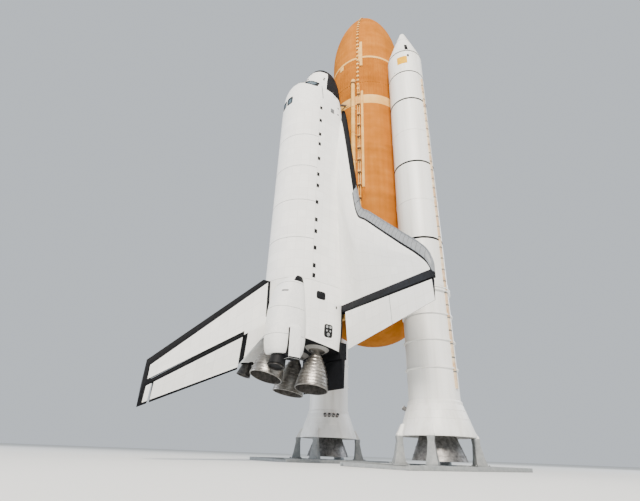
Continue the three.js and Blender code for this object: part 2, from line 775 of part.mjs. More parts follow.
// Pods beside the fin: blunt in front, broad, and faired down over the fuselage's shoulder
const POD_ROWS = [
  // station, y, height, half width, half height
  [1311, 82, 465, 30, 13],
  [1316, 83, 468.5, 37, 19.5],
  [1325, 84, 473, 41, 27],
  [1345, 84, 477.5, 44, 37.5],
  [1385, 84, 482, 46, 48],
  [1440, 84, 483, 47, 55],
  [1500, 84, 483, 47, 57],
  [1535, 84, 483, 44, 53],
  [1548, 84, 483, 39, 47],
];
const POD_POWER = 2.6;
const POD_SIDES = 24;
const POD_ENGINE = { station: 1522, y: 88, height: 494 };
const podEngineDirection = (side) => vec(1, side * 0.113, 0.27);

function pod(side) {
  const rings = POD_ROWS.map(([station, y, height, halfWidth, halfHeight]) =>
    Array.from({ length: POD_SIDES }, (_, i) => {
      const t = (i / POD_SIDES) * 2 * Math.PI;
      const bend = (value) => Math.sign(value) * Math.abs(value) ** (2 / POD_POWER);
      const [across, up] = [bend(Math.cos(t)), bend(Math.sin(t))];
      return vec(station, side * (y + halfWidth * across), height + halfHeight * up);
    }),
  );
  const thrusterHousing = block(
    side > 0 ? vec(1470, 104, 464) : vec(1470, -138, 464),
    side > 0 ? vec(1562, 138, 500) : vec(1562, -104, 500),
  );
  const well = aim(
    turned([[0, 0], [17, 0], [24, 60], [0, 60]], 16),
    vec(POD_ENGINE.station, side * POD_ENGINE.y, POD_ENGINE.height),
    podEngineDirection(side),
  );
  return cut(join(loft(rings), thrusterHousing), hullClearance(), well, upperEngineSweep());
}

// The space that the upper engine's bell can swing through, wider in pitch than in yaw.
function upperEngineSweep() {
  const reach = 175;
  const cone = turned([[0, 0], [reach, reach], [0, reach]], 24).scale(0.7, 0.68, 1);
  return cone.applyMatrix4(engineMatrix(GIMBALS[0]));
}

function podEngine(side) {
  const profile = [
    [0, SEAT_GAP],
    [8, SEAT_GAP],
    [6, 10],
    [11, 22],
    [17, 40],
    [21.5, 64],
    [20.3, 64],
    [15.8, 40],
    [9.6, 22],
    [4, 13],
    [0, 13],
  ];
  return aim(
    turned(profile, 16),
    vec(POD_ENGINE.station, side * POD_ENGINE.y, POD_ENGINE.height),
    podEngineDirection(side),
  );
}

// Wing, one row for each spanwise station, in inches
const WING_ROWS = [
  // y, leading edge station, deepest thickness
  [80, 350, 62],
  [105, 505, 60],
  [125, 640, 57],
  [150, 800, 54],
  [175, 955, 51],
  [190, 1015, 49],
  [205, 1045, 47.5],
  [230, 1066, 45],
  [300, 1136, 38],
  [380, 1216, 30],
  [440, 1276, 23],
  [458, 1300, 19],
  [WING_TIP_Y, 1330, 14],
];
const WING_ROOT_Y = 105;
const WING_LOWER = { root: 268, slope: 0.0551 }; // height of the flat lower skin
const HINGE_THICKNESS = { root: 22, slope: -0.032 };
// Places along the chord where each section has its corners, closer together at the nose
const SECTION_STEPS = [0, 0.01, 0.03, 0.08, 0.18, 0.34, 0.55, 0.78, 1];

function wingAt(y) {
  let i = WING_ROWS.findIndex((row) => row[0] >= y);
  if (i < 1) i = i < 0 ? WING_ROWS.length - 1 : 1;
  const share = (y - WING_ROWS[i - 1][0]) / (WING_ROWS[i][0] - WING_ROWS[i - 1][0]);
  const value = (column) => lerp(WING_ROWS[i - 1][column], WING_ROWS[i][column], share);
  const out = y - WING_ROOT_Y;
  return {
    leading: value(1),
    deepest: value(2),
    lower: WING_LOWER.root + WING_LOWER.slope * Math.max(out, 0),
    hinge: HINGE_THICKNESS.root + HINGE_THICKNESS.slope * out,
  };
}

// Thickness along the chord: a round nose, the deepest point near 45 percent, then a straight taper.
function sectionHeights(w, share) {
  const nose = Math.min(1, (share / 0.42) ** 0.5 * (1.5 - 0.5 * (share / 0.42)));
  const full = share < 0.42 ? w.deepest * nose : lerp(w.deepest, w.hinge, (share - 0.42) / 0.58);
  const rise = 10 * Math.max(0, 1 - share / 0.3) ** 2; // the nose sits above the flat belly
  const low = w.lower + rise * Math.min(1, w.deepest / 40);
  const below = share < 0.05 ? (share / 0.05) ** 0.5 : 1;
  return { low: lerp(low + 8, low, below), high: Math.max(w.lower + full, low + 8) };
}

// A closed section of the wing between two shares of its chord, starting at the upper surface.
function wingRing(y, from, to, side) {
  const w = wingAt(y);
  const points = SECTION_STEPS.map((step) => {
    const share = lerp(from, to, step);
    return { station: lerp(w.leading, ELEVON_HINGE_STATION, share), ...sectionHeights(w, share) };
  });
  const upper = points.map((p) => vec(p.station, side * y, p.high));
  const lower = points.map((p) => vec(p.station, side * y, p.low)).reverse();
  if (from === 0) lower[lower.length - 1].z = upper[0].z - 0.6;
  return [...upper, ...lower];
}

const EDGE_START_Y = 170; // where the bare carbon leading edge begins
const EDGE_DEPTH = 36; // inches of chord that it covers
const COVE_LIP = 5; // how far ahead of the elevons' hinge line the wing's skins end

function elevonHinge(y) {
  const w = wingAt(y);
  return { height: w.lower + w.hinge / 2, radius: w.hinge / 2 };
}

const WING_STATIONS = WING_ROWS.map((row) => row[0]);
function wingLoft(side, from, to, shareFrom, shareTo) {
  const stations = [from, ...WING_STATIONS.filter((y) => y > from + 0.5 && y < to - 0.5), to];
  return loft(stations.map((y) => wingRing(y, shareFrom(y), shareTo(y), side)));
}

// The elevon's hinge line with a cone round it, to cut the cove in the wing.
const COVE_FIT = 1.009; // keeps the cove's flats outside the round nose
function hingeCone(side, fromY, toY) {
  const [a, b] = [elevonHinge(fromY), elevonHinge(toY)];
  const start = vec(ELEVON_HINGE_STATION, side * fromY, a.height);
  const end = vec(ELEVON_HINGE_STATION, side * toY, b.height);
  const length = start.distanceTo(end);
  const [near, far] = [a, b].map(({ radius }) => radius * COVE_FIT + SEAT_GAP);
  const cone = turned([[0, 0], [near, 0], [far, length], [0, length]], 24);
  return aim(cone, start, end.clone().sub(start));
}

const edgeShare = (y) => EDGE_DEPTH / (ELEVON_HINGE_STATION - wingAt(y).leading);

function wing(side) {
  const inner = wingLoft(side, WING_ROWS[0][0], EDGE_START_Y, () => 0, () => 1);
  const outer = wingLoft(side, EDGE_START_Y - 0.01, WING_TIP_Y, (y) => edgeShare(y) + 0.0004, () => 1);
  const [near, far] = side > 0 ? [60, 480] : [-480, -60];
  const behind = block(
    vec(ELEVON_HINGE_STATION - COVE_LIP, near, 240),
    vec(ELEVON_HINGE_STATION + 30, far, 330),
  );
  const cove = hingeCone(side, WING_ROOT_Y, WING_TIP_Y + 4);
  return cut(join(inner, outer), behind, cove, hullClearance());
}

const wingEdge = (side) =>
  wingLoft(side, EDGE_START_Y + SEAT_GAP, WING_TIP_Y, () => 0, edgeShare);

// Elevons: inboard and outboard end of each, in inches from the centreline
const ELEVON_ROWS = [
  ["inboard", 118, 311.4],
  ["outboard", 312.6, 463],
];
const trailingStation = (y) => 1523 - 0.1773 * y;

function elevon(side, fromY, toY) {
  const rings = [fromY, toY].map((y) => {
    const { height, radius } = elevonHinge(y);
    const nose = Array.from({ length: 9 }, (_, i) => {
      const t = radians(90 + (i / 8) * 180);
      return vec(
        ELEVON_HINGE_STATION + radius * Math.cos(t),
        side * y,
        height + radius * Math.sin(t),
      );
    });
    return [
      ...nose,
      vec(trailingStation(y), side * y, height - 0.5),
      vec(trailingStation(y), side * y, height + 0.5),
    ];
  });
  return loft(rings);
}

function bodyFlap() {
  const { station, height, noseRadius: radius } = BODY_FLAP_HINGE;
  const [half, trailing] = [103, 1613];
  const nose = Array.from({ length: 9 }, (_, i) => {
    const t = radians(90 + (i / 8) * 180);
    return [station + radius * Math.cos(t), height + radius * Math.sin(t)];
  });
  const outline = [...nose, [trailing, height - 3], [trailing, height - 1]];
  return loft([-half, half].map((y) => outline.map(([x, z]) => vec(x, y, z))));
}

// The cove that the body flap turns in
function flapCove() {
  const { station, height, noseRadius } = BODY_FLAP_HINGE;
  const radius = noseRadius * COVE_FIT + SEAT_GAP;
  return new THREE.CylinderGeometry(radius, radius, 220, 24).translate(station, 0, height);
}

// Fin and rudder: a wedge section, thickest at the hinge line
const FIN = { root: 484, tip: 815.7, sweepStation: 1279.8 };
const RUDDER = { low: 577, high: 790, gapBelow: 3.2, gapAbove: 5.4 };
const TUBE_SHARE = 0.8; // the turning hinge tube fills this share of the fin's thickness
const COVE_MARGIN = 2.3; // room for the panels' noses as they swing wide open
const finLeading = (z) => FIN.sweepStation + (z - 500);
const finTrailing = (z) => 1548.3 + 0.493 * (z - 500);
const rudderHinge = (z) => 1492 + 0.69 * (z - 575);
const finHalfThickness = (z) => lerp(13.5, 6.5, (z - 500) / 315.7);

function finRing(z, scale = 1) {
  const middle = rudderHinge(z);
  const half = finHalfThickness(z) * scale;
  const leading = finLeading(z);
  const nose = Math.min(0.22 * half + 1, half);
  return [
    vec(leading, 0, z),
    vec(leading + 2, nose, z),
    vec(middle, half, z),
    vec(finTrailing(z), 0.7, z),
    vec(finTrailing(z), -0.7, z),
    vec(middle, -half, z),
    vec(leading + 2, -nose, z),
  ];
}

const hingePoint = (z) => vec(rudderHinge(z), 0, z);

// A block whose front face stands on the hinge line and whose ends are level cuts.
function rudderZone(low, high, yLow, yHigh) {
  const ring = (y) => [
    vec(rudderHinge(low), y, low),
    vec(1800, y, low),
    vec(1800, y, high),
    vec(rudderHinge(high), y, high),
  ];
  return loft([ring(yLow), ring(yHigh)]);
}

function hingeBar(low, high, lowRadius, highRadius, sides) {
  const [start, end] = [hingePoint(low), hingePoint(high)];
  const length = start.distanceTo(end);
  const profile = [[0, 0], [lowRadius, 0], [highRadius, length], [0, length]];
  return aim(turned(profile, sides), start, end.clone().sub(start));
}

function finSkin() {
  const tipRing = finRing(FIN.tip).map((p) => vec(p.x, p.y * 0.75, p.z));
  return loft([finRing(FIN.root), finRing(810), tipRing]);
}

function fin() {
  const [low, high] = [RUDDER.low - RUDDER.gapBelow, RUDDER.high + RUDDER.gapAbove];
  const cove = hingeBar(
    low,
    high,
    finHalfThickness(low) + COVE_MARGIN,
    finHalfThickness(high) + COVE_MARGIN,
    24,
  );
  const overDoors = block(vec(1200, -40, 400), vec(BAY_END + 0.5, 40, 540));
  const skin = cut(finSkin(), rudderZone(low, high, -40, 40), cove);
  return cut(skin, finCorner(), overDoors, hullClearance());
}

// The fin's lower rear corner is cut back over the upper engine.
const FIN_CORNER = [[1478, 470], [1700, 470], [1700, 574], [1580, 574], [1500, 514], [1478, 490]];
const finCorner = () => loft([-40, 40].map((y) => FIN_CORNER.map(([x, z]) => vec(x, y, z))));

function rudderPanel(side) {
  const half = side > 0 ? [SEAT_GAP, 40] : [-40, -SEAT_GAP];
  const zone = rudderZone(RUDDER.low, RUDDER.high, ...half);
  const tube = rudderCone(RUDDER.low - 20, RUDDER.high + 20, COVE_FIT, SEAT_GAP / 3);
  return cut(common(finSkin(), zone), tube);
}

// A cone along the hinge line, a little larger where it cuts the bore of the panels.
function rudderCone(low, high, factor, grow) {
  const [start, end] = [low, high].map((z) => finHalfThickness(z) * TUBE_SHARE * factor + grow);
  return hingeBar(low, high, start, end, 24);
}

function rudderTube() {
  const [low, high] = [RUDDER.low - RUDDER.gapBelow, RUDDER.high + RUDDER.gapAbove];
  return rudderCone(low + SEAT_GAP, high - SEAT_GAP, 1, 0);
}

// Boosters, built on their own axis and moved out to port or starboard
function boosterNose() {
  const seat = boosterHeight(FRUSTUM_END - SEAT_GAP);
  const tip = boosterHeight(BOOSTER_NOSE_STATION);
  const profile = [
    [0, seat],
    [BOOSTER_RADIUS, seat],
    [34, boosterHeight(FRUSTUM_START)],
    [13.5, tip - 14],
    [9, tip - 4],
    [0, tip],
  ];
  return turned(profile, BOOSTER_SIDES);
}

function forwardSkirt(side) {
  const [low, high] = [boosterHeight(MOTOR_START - SEAT_GAP), boosterHeight(FRUSTUM_END)];
  const profile = [[0, low], [BOOSTER_RADIUS, low], [BOOSTER_RADIUS, high], [0, high]];
  const skirt = turned(profile, BOOSTER_SIDES);
  const thrustPost = block(
    vec(side > 0 ? -84.2 : 60, -9, boosterHeight(452)),
    vec(side > 0 ? -60 : 84.2, 9, boosterHeight(434)),
  );
  return join(skirt, thrustPost);
}

// Bands round the motor case: station, half width, how far they stand out
const CASE_BANDS = [
  [1591, 1.6, 4],
  [1671, 1.6, 4],
  [1751, 1.6, 4],
];

function motorCase(side) {
  const profile = [[0, boosterHeight(MOTOR_START)], [BOOSTER_RADIUS, boosterHeight(MOTOR_START)]];
  for (const [station, half, proud] of CASE_BANDS) {
    profile.push(
      [BOOSTER_RADIUS, boosterHeight(station - half)],
      [BOOSTER_RADIUS + proud, boosterHeight(station - half)],
      [BOOSTER_RADIUS + proud, boosterHeight(station + half)],
      [BOOSTER_RADIUS, boosterHeight(station + half)],
    );
  }
  const aft = boosterHeight(MOTOR_END - SEAT_GAP);
  const bossRadius = 20;
  const pivot = boosterHeight(NOZZLE_PIVOT_STATION);
  profile.push([BOOSTER_RADIUS, aft], [60, aft], [bossRadius, aft + 1.2]);
  profile.push([8, pivot + 6], [6.5, pivot + 1], [0, pivot + 1]);
  const tunnel = block(
    vec(BOOSTER_RADIUS - 3, -5, boosterHeight(1806)),
    vec(BOOSTER_RADIUS + 5, 5, boosterHeight(560)),
  ).rotateZ(radians(side > 0 ? TUNNEL_BEARING : 180 - TUNNEL_BEARING));
  const socket = socketBore(true).rotateZ(BOOSTER_JOINT_TURN).translate(0, 0, pivot);
  return cut(join(turned(profile, BOOSTER_SIDES), tunnel), socket);
}
const BOOSTER_JOINT_TURN = Math.PI / 4; // the rock and tilt actuators sit at 45 degrees

function attachRing(side) {
  const [low, high] = [boosterHeight(ATTACH_RING_STATION + 6), boosterHeight(ATTACH_RING_STATION - 6)];
  const inner = BOOSTER_RADIUS + SEAT_GAP;
  const ring = turned(
    [[inner, low], [inner + 6, low], [inner + 6, high], [inner, high], [inner, low]],
    BOOSTER_SIDES,
  );
  const height = (low + high) / 2;
  const inboard = -side;
  const parts = [ring];
  for (const across of [-1, 1]) {
    parts.push(
      rod(
        vec(inboard * 40, across * 66, height),
        vec(inboard * (BOOSTER_SPACING - 120), across * 108, height + 2),
        3.5,
      ),
    );
  }
  parts.push(
    rod(vec(inboard * 58, -52, height), vec(inboard * (BOOSTER_SPACING - 140), 70, height + 1), 3.5),
  );
  const tankSpace = insideTank().translate(-side * BOOSTER_SPACING, 0, 0);
  const tankDome = growTankEnd().translate(-side * BOOSTER_SPACING, 0, 0);
  const tunnelSlot = block(vec(BOOSTER_RADIUS - 5, -5.4, low - 4), vec(BOOSTER_RADIUS + 5.3, 5.4, high + 4)).rotateZ(
    radians(side > 0 ? TUNNEL_BEARING : 180 - TUNNEL_BEARING),
  );
  return cut(join(...parts), turnedBore(inner, low - 40, high + 40, BOOSTER_SIDES), tankSpace, tankDome, tunnelSlot);
}
const SKIRT_WALL = 3;
function aftSkirt() {
  const top = boosterHeight(MOTOR_END);
  const bottom = boosterHeight(AFT_SKIRT_END);
  const profile = [
    [BOOSTER_RADIUS + 1, top],
    [BOOSTER_RADIUS + 4, top - 4],
    [BOOSTER_RADIUS + 4, top - 12],
    [AFT_SKIRT_RADIUS, bottom + 7],
    [AFT_SKIRT_RADIUS, bottom],
    [AFT_SKIRT_RADIUS - SKIRT_WALL - 2, bottom],
    [AFT_SKIRT_RADIUS - SKIRT_WALL - 2, bottom + 6],
    [BOOSTER_RADIUS - 3, top - 14],
    [BOOSTER_RADIUS - 6, top],
    [BOOSTER_RADIUS + 1, top],
  ];
  const parts = [turned(profile, BOOSTER_SIDES)];
  for (const bearing of POST_BEARINGS) {
    parts.push(
      block(vec(POST_CIRCLE_RADIUS - 12, -9, bottom), vec(POST_CIRCLE_RADIUS + 7, 9, bottom + 30)).rotateZ(
        radians(bearing),
      ),
    );
  }
  const shell = join(...parts);
  return cut(shell, innerCone(top, bottom));
}

// The space inside the aft skirt, which its shoes may not fill.
const innerCone = (top, bottom) =>
  turned(
    [
      [0, bottom - 1],
      [AFT_SKIRT_RADIUS - SKIRT_WALL - 12, bottom - 1],
      [AFT_SKIRT_RADIUS - SKIRT_WALL - 12, bottom + 6],
      [BOOSTER_RADIUS - 4, top - 14],
      [0, top - 14],
    ],
    BOOSTER_SIDES,
  );

function boosterNozzle() {
  const length = NOZZLE_EXIT_STATION - NOZZLE_PIVOT_STATION;
  const outside = [[30, -22], [34, -40], [50, -78], [64, -112], [NOZZLE_EXIT_RADIUS, -length]];
  const inside = [...outside].reverse().map(([radius, along]) => [radius - 3, along]);
  const profile = [[0, -1], [7, -1], [7, -8], [28, -12], ...outside, ...inside, [22, -24], [0, -24]];
  const bell = cut(turned(profile, NOZZLE_SIDES + 4), socketBore(false).rotateZ(BOOSTER_JOINT_TURN));
  return bell.translate(0, 0, boosterHeight(NOZZLE_PIVOT_STATION));
}

// The rim of the platform's opening, four haunches that reach in from its long sides, and the
// post that each of them carries.
const RIM = { width: 12, height: 10 };
const HAUNCH = { reach: 36, near: 78.5, far: 122.5 };
const POST = { topHalf: 9, neckHalf: 8, footHalf: 15, neckDrop: 14, lean: 6 };
function holdDownStand() {
  const top = boosterHeight(AFT_SKIRT_END + SEAT_GAP);
  const [halfX, halfY] = [OPENING_HALF_WIDTH, OPENING_HALF_LENGTH];
  const outer = block(vec(-halfX, -halfY, 0), vec(halfX, halfY, RIM.height));
  const hole = block(
    vec(-halfX + RIM.width, -halfY + RIM.width, -1),
    vec(halfX - RIM.width, halfY - RIM.width, RIM.height + 1),
  );
  const haunches = [];
  for (const [x, y] of [[1, 1], [-1, 1], [-1, -1], [1, -1]]) {
    const [inner, outerEnd] = [x * HAUNCH.reach, x * (halfX - RIM.width / 2)];
    const [near, far] = [y * HAUNCH.near, y * HAUNCH.far];
    haunches.push(
      block(
        vec(Math.min(inner, outerEnd), Math.min(near, far), 0),
        vec(Math.max(inner, outerEnd), Math.max(near, far), RIM.height),
      ),
    );
  }
  const posts = POST_BEARINGS.map((bearing) => {
    const rings = [
      [RIM.height / 2, POST.footHalf, POST.lean],
      [RIM.height + 6, POST.footHalf, POST.lean - 2],
      [top - POST.neckDrop, POST.neckHalf, 0],
      [top, POST.topHalf, 0],
    ].map(([height, half, shift]) => {
      const [near, far] = [POST_CIRCLE_RADIUS - half + shift, POST_CIRCLE_RADIUS + half + shift];
      const corners = [[near, -half], [far, -half], [far, half], [near, half]];
      return corners.map(([x, y]) => vec(x, y, height));
    });
    return loft(rings).rotateZ(radians(bearing));
  });
  return join(cut(outer, hole), ...haunches, ...posts);
}

// Assembly
piece(tankFrame, "tank_nose_cone", tankNose(), PALE_FOAM);
piece(tankFrame, "oxygen_tank", oxygenTank(), FOAM);
piece(tankFrame, "intertank", intertank(), FOAM);
piece(tankFrame, "hydrogen_tank", hydrogenTank(), FOAM);
piece(tankFrame, "oxygen_feedline", oxygenFeedline(), PALE_FOAM);
piece(tankFrame, "hydrogen_umbilical", hydrogenUmbilical(), PALE_FOAM);
piece(tankFrame, "oxygen_tank_tray", oxygenTray(), PALE_FOAM);
piece(tankFrame, "hydrogen_tank_tray", hydrogenTray(), PALE_FOAM);
piece(tankFrame, "forward_bipod", forwardBipod(), PALE_FOAM);
piece(tankFrame, "aft_attach_frame", aftAttachFrame(), PALE_FOAM);

piece(orbiterFrame, "nose_cap", noseCap(), GREY_CARBON);
piece(orbiterFrame, "forward_fuselage", forwardFuselage(), WHITE_BLANKET);
piece(orbiterFrame, "windshield_glass", glassBand(386, 450, 88), DARK_GLASS);
piece(orbiterFrame, "overhead_glass", glassBand(513, 551, 34), DARK_GLASS);
piece(orbiterFrame, "crew_hatch", crewHatch(), WHITE_BLANKET);
piece(orbiterFrame, "mid_fuselage", midFuselage(), WHITE_BLANKET);
piece(orbiterFrame, "aft_fuselage", cut(aftFuselage(), flapCove()), WHITE_BLANKET);
piece(orbiterFrame, "body_flap", bodyFlap(), BLACK_TILE);
piece(orbiterFrame, "fin", fin(), WHITE_BLANKET);
piece(orbiterFrame, "rudder_hinge_tube", rudderTube(), DARK_METAL);
for (const [side, hand] of [[1, "starboard"], [-1, "port"]]) {
  piece(orbiterFrame, `bay_door_${hand}`, bayDoor(side), WHITE_BLANKET);
  piece(orbiterFrame, `wing_${hand}`, wing(side), WHITE_BLANKET);
  piece(orbiterFrame, `wing_leading_edge_${hand}`, wingEdge(side), GREY_CARBON);
  for (const [place, from, to] of ELEVON_ROWS) {
    piece(orbiterFrame, `elevon_${place}_${hand}`, elevon(side, from, to), WHITE_BLANKET);
  }
  piece(orbiterFrame, `rudder_panel_${hand}`, rudderPanel(side), WHITE_BLANKET);
  piece(orbiterFrame, `pod_${hand}`, pod(side), WHITE_BLANKET);
  piece(orbiterFrame, `pod_engine_${hand}`, podEngine(side), DARK_METAL);

  const booster = new THREE.Group();
  booster.position.x = side * BOOSTER_SPACING;
  tankFrame.add(booster);
  const pivot = boosterHeight(NOZZLE_PIVOT_STATION);
  const joint = jointBlock().whole.rotateZ(BOOSTER_JOINT_TURN).translate(0, 0, pivot);
  piece(booster, `booster_nose_${hand}`, boosterNose(), WHITE_PAINT);
  piece(booster, `booster_forward_skirt_${hand}`, forwardSkirt(side), WHITE_PAINT);
  piece(booster, `booster_motor_${hand}`, motorCase(side), WHITE_PAINT);
  piece(booster, `booster_attach_ring_${hand}`, attachRing(side), WHITE_PAINT);
  piece(booster, `booster_aft_skirt_${hand}`, aftSkirt(), WHITE_PAINT);
  piece(booster, `booster_joint_${hand}`, joint, DARK_METAL);
  piece(booster, `booster_nozzle_${hand}`, boosterNozzle(), DARK_METAL);
  piece(booster, `holddown_stand_${hand}`, holdDownStand(), GREY_PAINT);
}
for (const gimbal of GIMBALS) {
  const matrix = engineMatrix(gimbal);
  // The joint's lower half has to face aft, along the engine's own +Z.
  const joint = jointBlock().whole.scale(1, 1, -1).applyMatrix4(matrix);
  piece(orbiterFrame, `engine_joint_${gimbal.name}`, joint, DARK_METAL);
  piece(orbiterFrame, `main_engine_${gimbal.name}`, mainEngine().applyMatrix4(matrix), STEEL);
}

// The part's origin is on the floor, in the middle between the stand's back and the fin's tip.
tankFrame.position.y = (FIN.tip - ORBITER_AXIS_OFFSET - OPENING_HALF_LENGTH) / 2;
stack.scale.setScalar(MILLIMETRES_PER_INCH * MODEL_SCALE);

export default stack;
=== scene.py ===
import math

import bmesh
import bpy
import numpy as np
from mathutils import Matrix, Vector


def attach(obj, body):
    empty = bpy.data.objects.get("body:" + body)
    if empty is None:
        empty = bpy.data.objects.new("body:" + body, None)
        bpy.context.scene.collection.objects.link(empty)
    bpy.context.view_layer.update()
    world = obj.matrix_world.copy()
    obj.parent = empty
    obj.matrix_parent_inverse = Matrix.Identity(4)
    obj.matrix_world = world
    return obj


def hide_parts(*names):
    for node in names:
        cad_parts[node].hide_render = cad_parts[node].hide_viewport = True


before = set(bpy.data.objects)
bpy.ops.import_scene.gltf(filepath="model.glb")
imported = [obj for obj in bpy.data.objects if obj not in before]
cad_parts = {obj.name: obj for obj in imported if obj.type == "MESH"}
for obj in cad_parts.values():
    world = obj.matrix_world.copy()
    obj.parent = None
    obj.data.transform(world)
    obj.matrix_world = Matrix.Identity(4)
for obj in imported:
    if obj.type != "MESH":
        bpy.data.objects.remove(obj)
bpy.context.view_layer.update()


# Studio. A pale seamless floor, one large soft key light, a wide sky of fill light and the
# camera, which stands at floor level off the orbiter's starboard quarter and looks up.
def linear(hex_colour):
    """An sRGB hex value as linear red, green, blue and alpha."""
    parts = [int(hex_colour[i:i + 2], 16) / 255 for i in (1, 3, 5)]
    return tuple(c / 12.92 if c <= 0.04045 else ((c + 0.055) / 1.055) ** 2.4 for c in parts) + (1.0,)


def put(tree, kind, inputs=None, tones=(), **settings):
    """Adds a node with its settings, input values and links, and a ramp's tones from dark to pale."""
    made = tree.nodes.new("ShaderNode" + kind)
    for _ in tones[2:]:
        made.color_ramp.elements.new(0.5)
    for tone, (spot, colour) in zip(made.color_ramp.elements if tones else (), tones):
        tone.position = spot
        tone.color = linear(colour)
    for name, value in settings.items():
        setattr(made, name, value)
    for name, value in (inputs or {}).items():
        if isinstance(value, bpy.types.NodeSocket):
            tree.links.new(value, made.inputs[name])
        else:
            made.inputs[name].default_value = value
    return made


def bare_material(name):
    made = bpy.data.materials.new(name)
    made.use_nodes = True
    made.node_tree.nodes.clear()
    return made, made.node_tree


def light(name, place, aim, size, power, colour="#ffffff"):
    lamp = bpy.data.lights.new(name, "AREA")
    lamp.shape, lamp.size, lamp.energy = "DISK", size, power
    lamp.color = linear(colour)[:3]
    holder = bpy.data.objects.new(name, lamp)
    bpy.context.collection.objects.link(holder)
    holder.location = place
    holder.rotation_euler = (Vector(aim) - Vector(place)).to_track_quat("-Z", "Y").to_euler()


STACK_MIDDLE = (0, 0, 13.5)
light("key_softbox", (38, -30, 40), STACK_MIDDLE, 16, 66000, "#fff6ea")
light("fill_softbox", (-34, -34, 14), STACK_MIDDLE, 26, 11000, "#eef3ff")
light("back_softbox", (6, 42, 24), STACK_MIDDLE, 22, 9000, "#eef4ff")

world = bpy.data.worlds.new("studio_sky")
world.use_nodes = True
world.node_tree.nodes["Background"].inputs["Color"].default_value = linear("#e4ebf2")
world.node_tree.nodes["Background"].inputs["Strength"].default_value = 0.84
bpy.context.scene.world = world

floor_paint, tree = bare_material("matt_floor_paint")
shade = put(tree, "BsdfPrincipled", {"Base Color": linear("#dfe0de"), "Roughness": 0.9})
put(tree, "OutputMaterial", {"Surface": shade.outputs["BSDF"]})
floor_mesh = bpy.data.meshes.new("studio_floor")
FLOOR_REACH = 400
floor_mesh.from_pydata(
    [(-FLOOR_REACH, -FLOOR_REACH, -0.004), (FLOOR_REACH, -FLOOR_REACH, -0.004),
     (FLOOR_REACH, FLOOR_REACH, -0.004), (-FLOOR_REACH, FLOOR_REACH, -0.004)], [], [(0, 1, 2, 3)])
floor_mesh.materials.append(floor_paint)
studio_floor = bpy.data.objects.new("studio_floor", floor_mesh)
bpy.context.collection.objects.link(studio_floor)

CAMERA_PLACE = Vector((13.30, -9.52, 0.305))
CAMERA_AIM = Vector((-1.09, 0.80, 9.30))
CAMERA_ROLL = 2.2  # degrees
lens = bpy.data.cameras.new("photo_lens")
lens.lens, lens.sensor_width = 22.6, 36.0
lens.clip_start, lens.clip_end = 0.05, 900
camera = bpy.data.objects.new("camera", lens)
bpy.context.collection.objects.link(camera)
camera.location = CAMERA_PLACE
sight = (CAMERA_AIM - CAMERA_PLACE).to_track_quat("-Z", "Y")
camera.rotation_mode = "QUATERNION"
camera.rotation_quaternion = sight @ Matrix.Rotation(math.radians(CAMERA_ROLL), 3, "Z").to_quaternion()
bpy.context.scene.camera = camera


# Oxygen tank and nose. The ogive is welded from aluminium gores and sprayed with foam, which the
# sun turns from cream to orange-brown: matt, slightly pitted, with faint spray bands round it.
INCH = 0.0127  # one inch of the full-size vehicle, in metres at half size
FLOOR_STATION = 2552  # tank station of the floor
DEPTH_SHIFT = 250.1  # inches from the part's origin to the tank's axis


def shell(rows, wrap=False, caps=(), flip=False, zones=None, mat=0):
    """Vertices, faces, finish numbers and UVs in metres of a skin through rows of points."""
    rows = np.array(rows, float)
    count, width = rows.shape[:2]
    verts = rows.reshape(-1, 3)
    steps = width if wrap else width - 1
    closed = np.concatenate([rows, rows[:, :1]], 1) if wrap else rows
    across = np.concatenate([[0], np.cumsum(np.linalg.norm(np.diff(closed, axis=1), axis=2).mean(0))])
    along = np.concatenate([[0], np.cumsum(np.linalg.norm(np.diff(rows, axis=0), axis=2).mean(1))])
    faces, corners, picks = [], [], []
    for i in range(count - 1):
        for j in range(steps):
            k = (j + 1) % width
            quad = [i * width + j, i * width + k, (i + 1) * width + k, (i + 1) * width + j]
            spots = [(across[j], along[i]), (across[j + 1], along[i]),
                     (across[j + 1], along[i + 1]), (across[j], along[i + 1])]
            if flip:
                quad.reverse()
                spots.reverse()
            faces.append(quad)
            corners.extend(spots)
            picks.append(zones(i, j) if zones else mat)
    for cap in caps:
        start = 0 if cap == 0 else (count - 1) * width
        ring = list(range(start, start + width))
        if (cap == 0) != flip:
            ring.reverse()
        faces.append(ring)
        corners.extend([(verts[k][0], verts[k][2]) for k in ring])
        picks.append(zones(-1 if cap == 0 else count, 0) if zones else mat)
    if wrap and not flip and volume(verts, faces) < 0:
        return shell(rows, wrap, caps, True, zones, mat)
    return verts, faces, picks, corners


def volume(verts, faces):
    """Six times the volume inside the faces, negative if they face inwards."""
    verts = verts - verts.mean(0)
    fans = np.array([(f[0], f[k], f[k + 1]) for f in faces for k in range(1, len(f) - 1)])
    a, b, c = verts[fans[:, 0]], verts[fans[:, 1]], verts[fans[:, 2]]
    return np.einsum("ij,ij->", a, np.cross(b, c))


def solid(rows, zones=None, mat=0, flip=False):
    """A closed skin through rows of rings, with both ends capped."""
    return shell(rows, True, (0, 1), flip, zones, mat)


def round_turn(count):
    """Evenly spaced angles once round a circle."""
    return np.linspace(0, 2 * math.pi, count, endpoint=False)


def spun(profile, origin, axis, sides=96, zones=None, mat=0):
    """A profile of (radius, distance along the axis) in inches, turned round an axis."""
    axis = np.array(axis, float) / np.linalg.norm(axis)
    across = np.cross(axis, [0.0, 1.0, 0.0] if abs(axis[1]) < 0.9 else [1.0, 0.0, 0.0])
    across /= np.linalg.norm(across)
    other = np.cross(axis, across)
    turns = [math.cos(a) * across + math.sin(a) * other for a in round_turn(sides)]
    rows = [[np.array(origin) + (r * turn + along * axis) * INCH for turn in turns] for r, along in profile]
    return shell(rows, wrap=True, zones=zones, mat=mat)


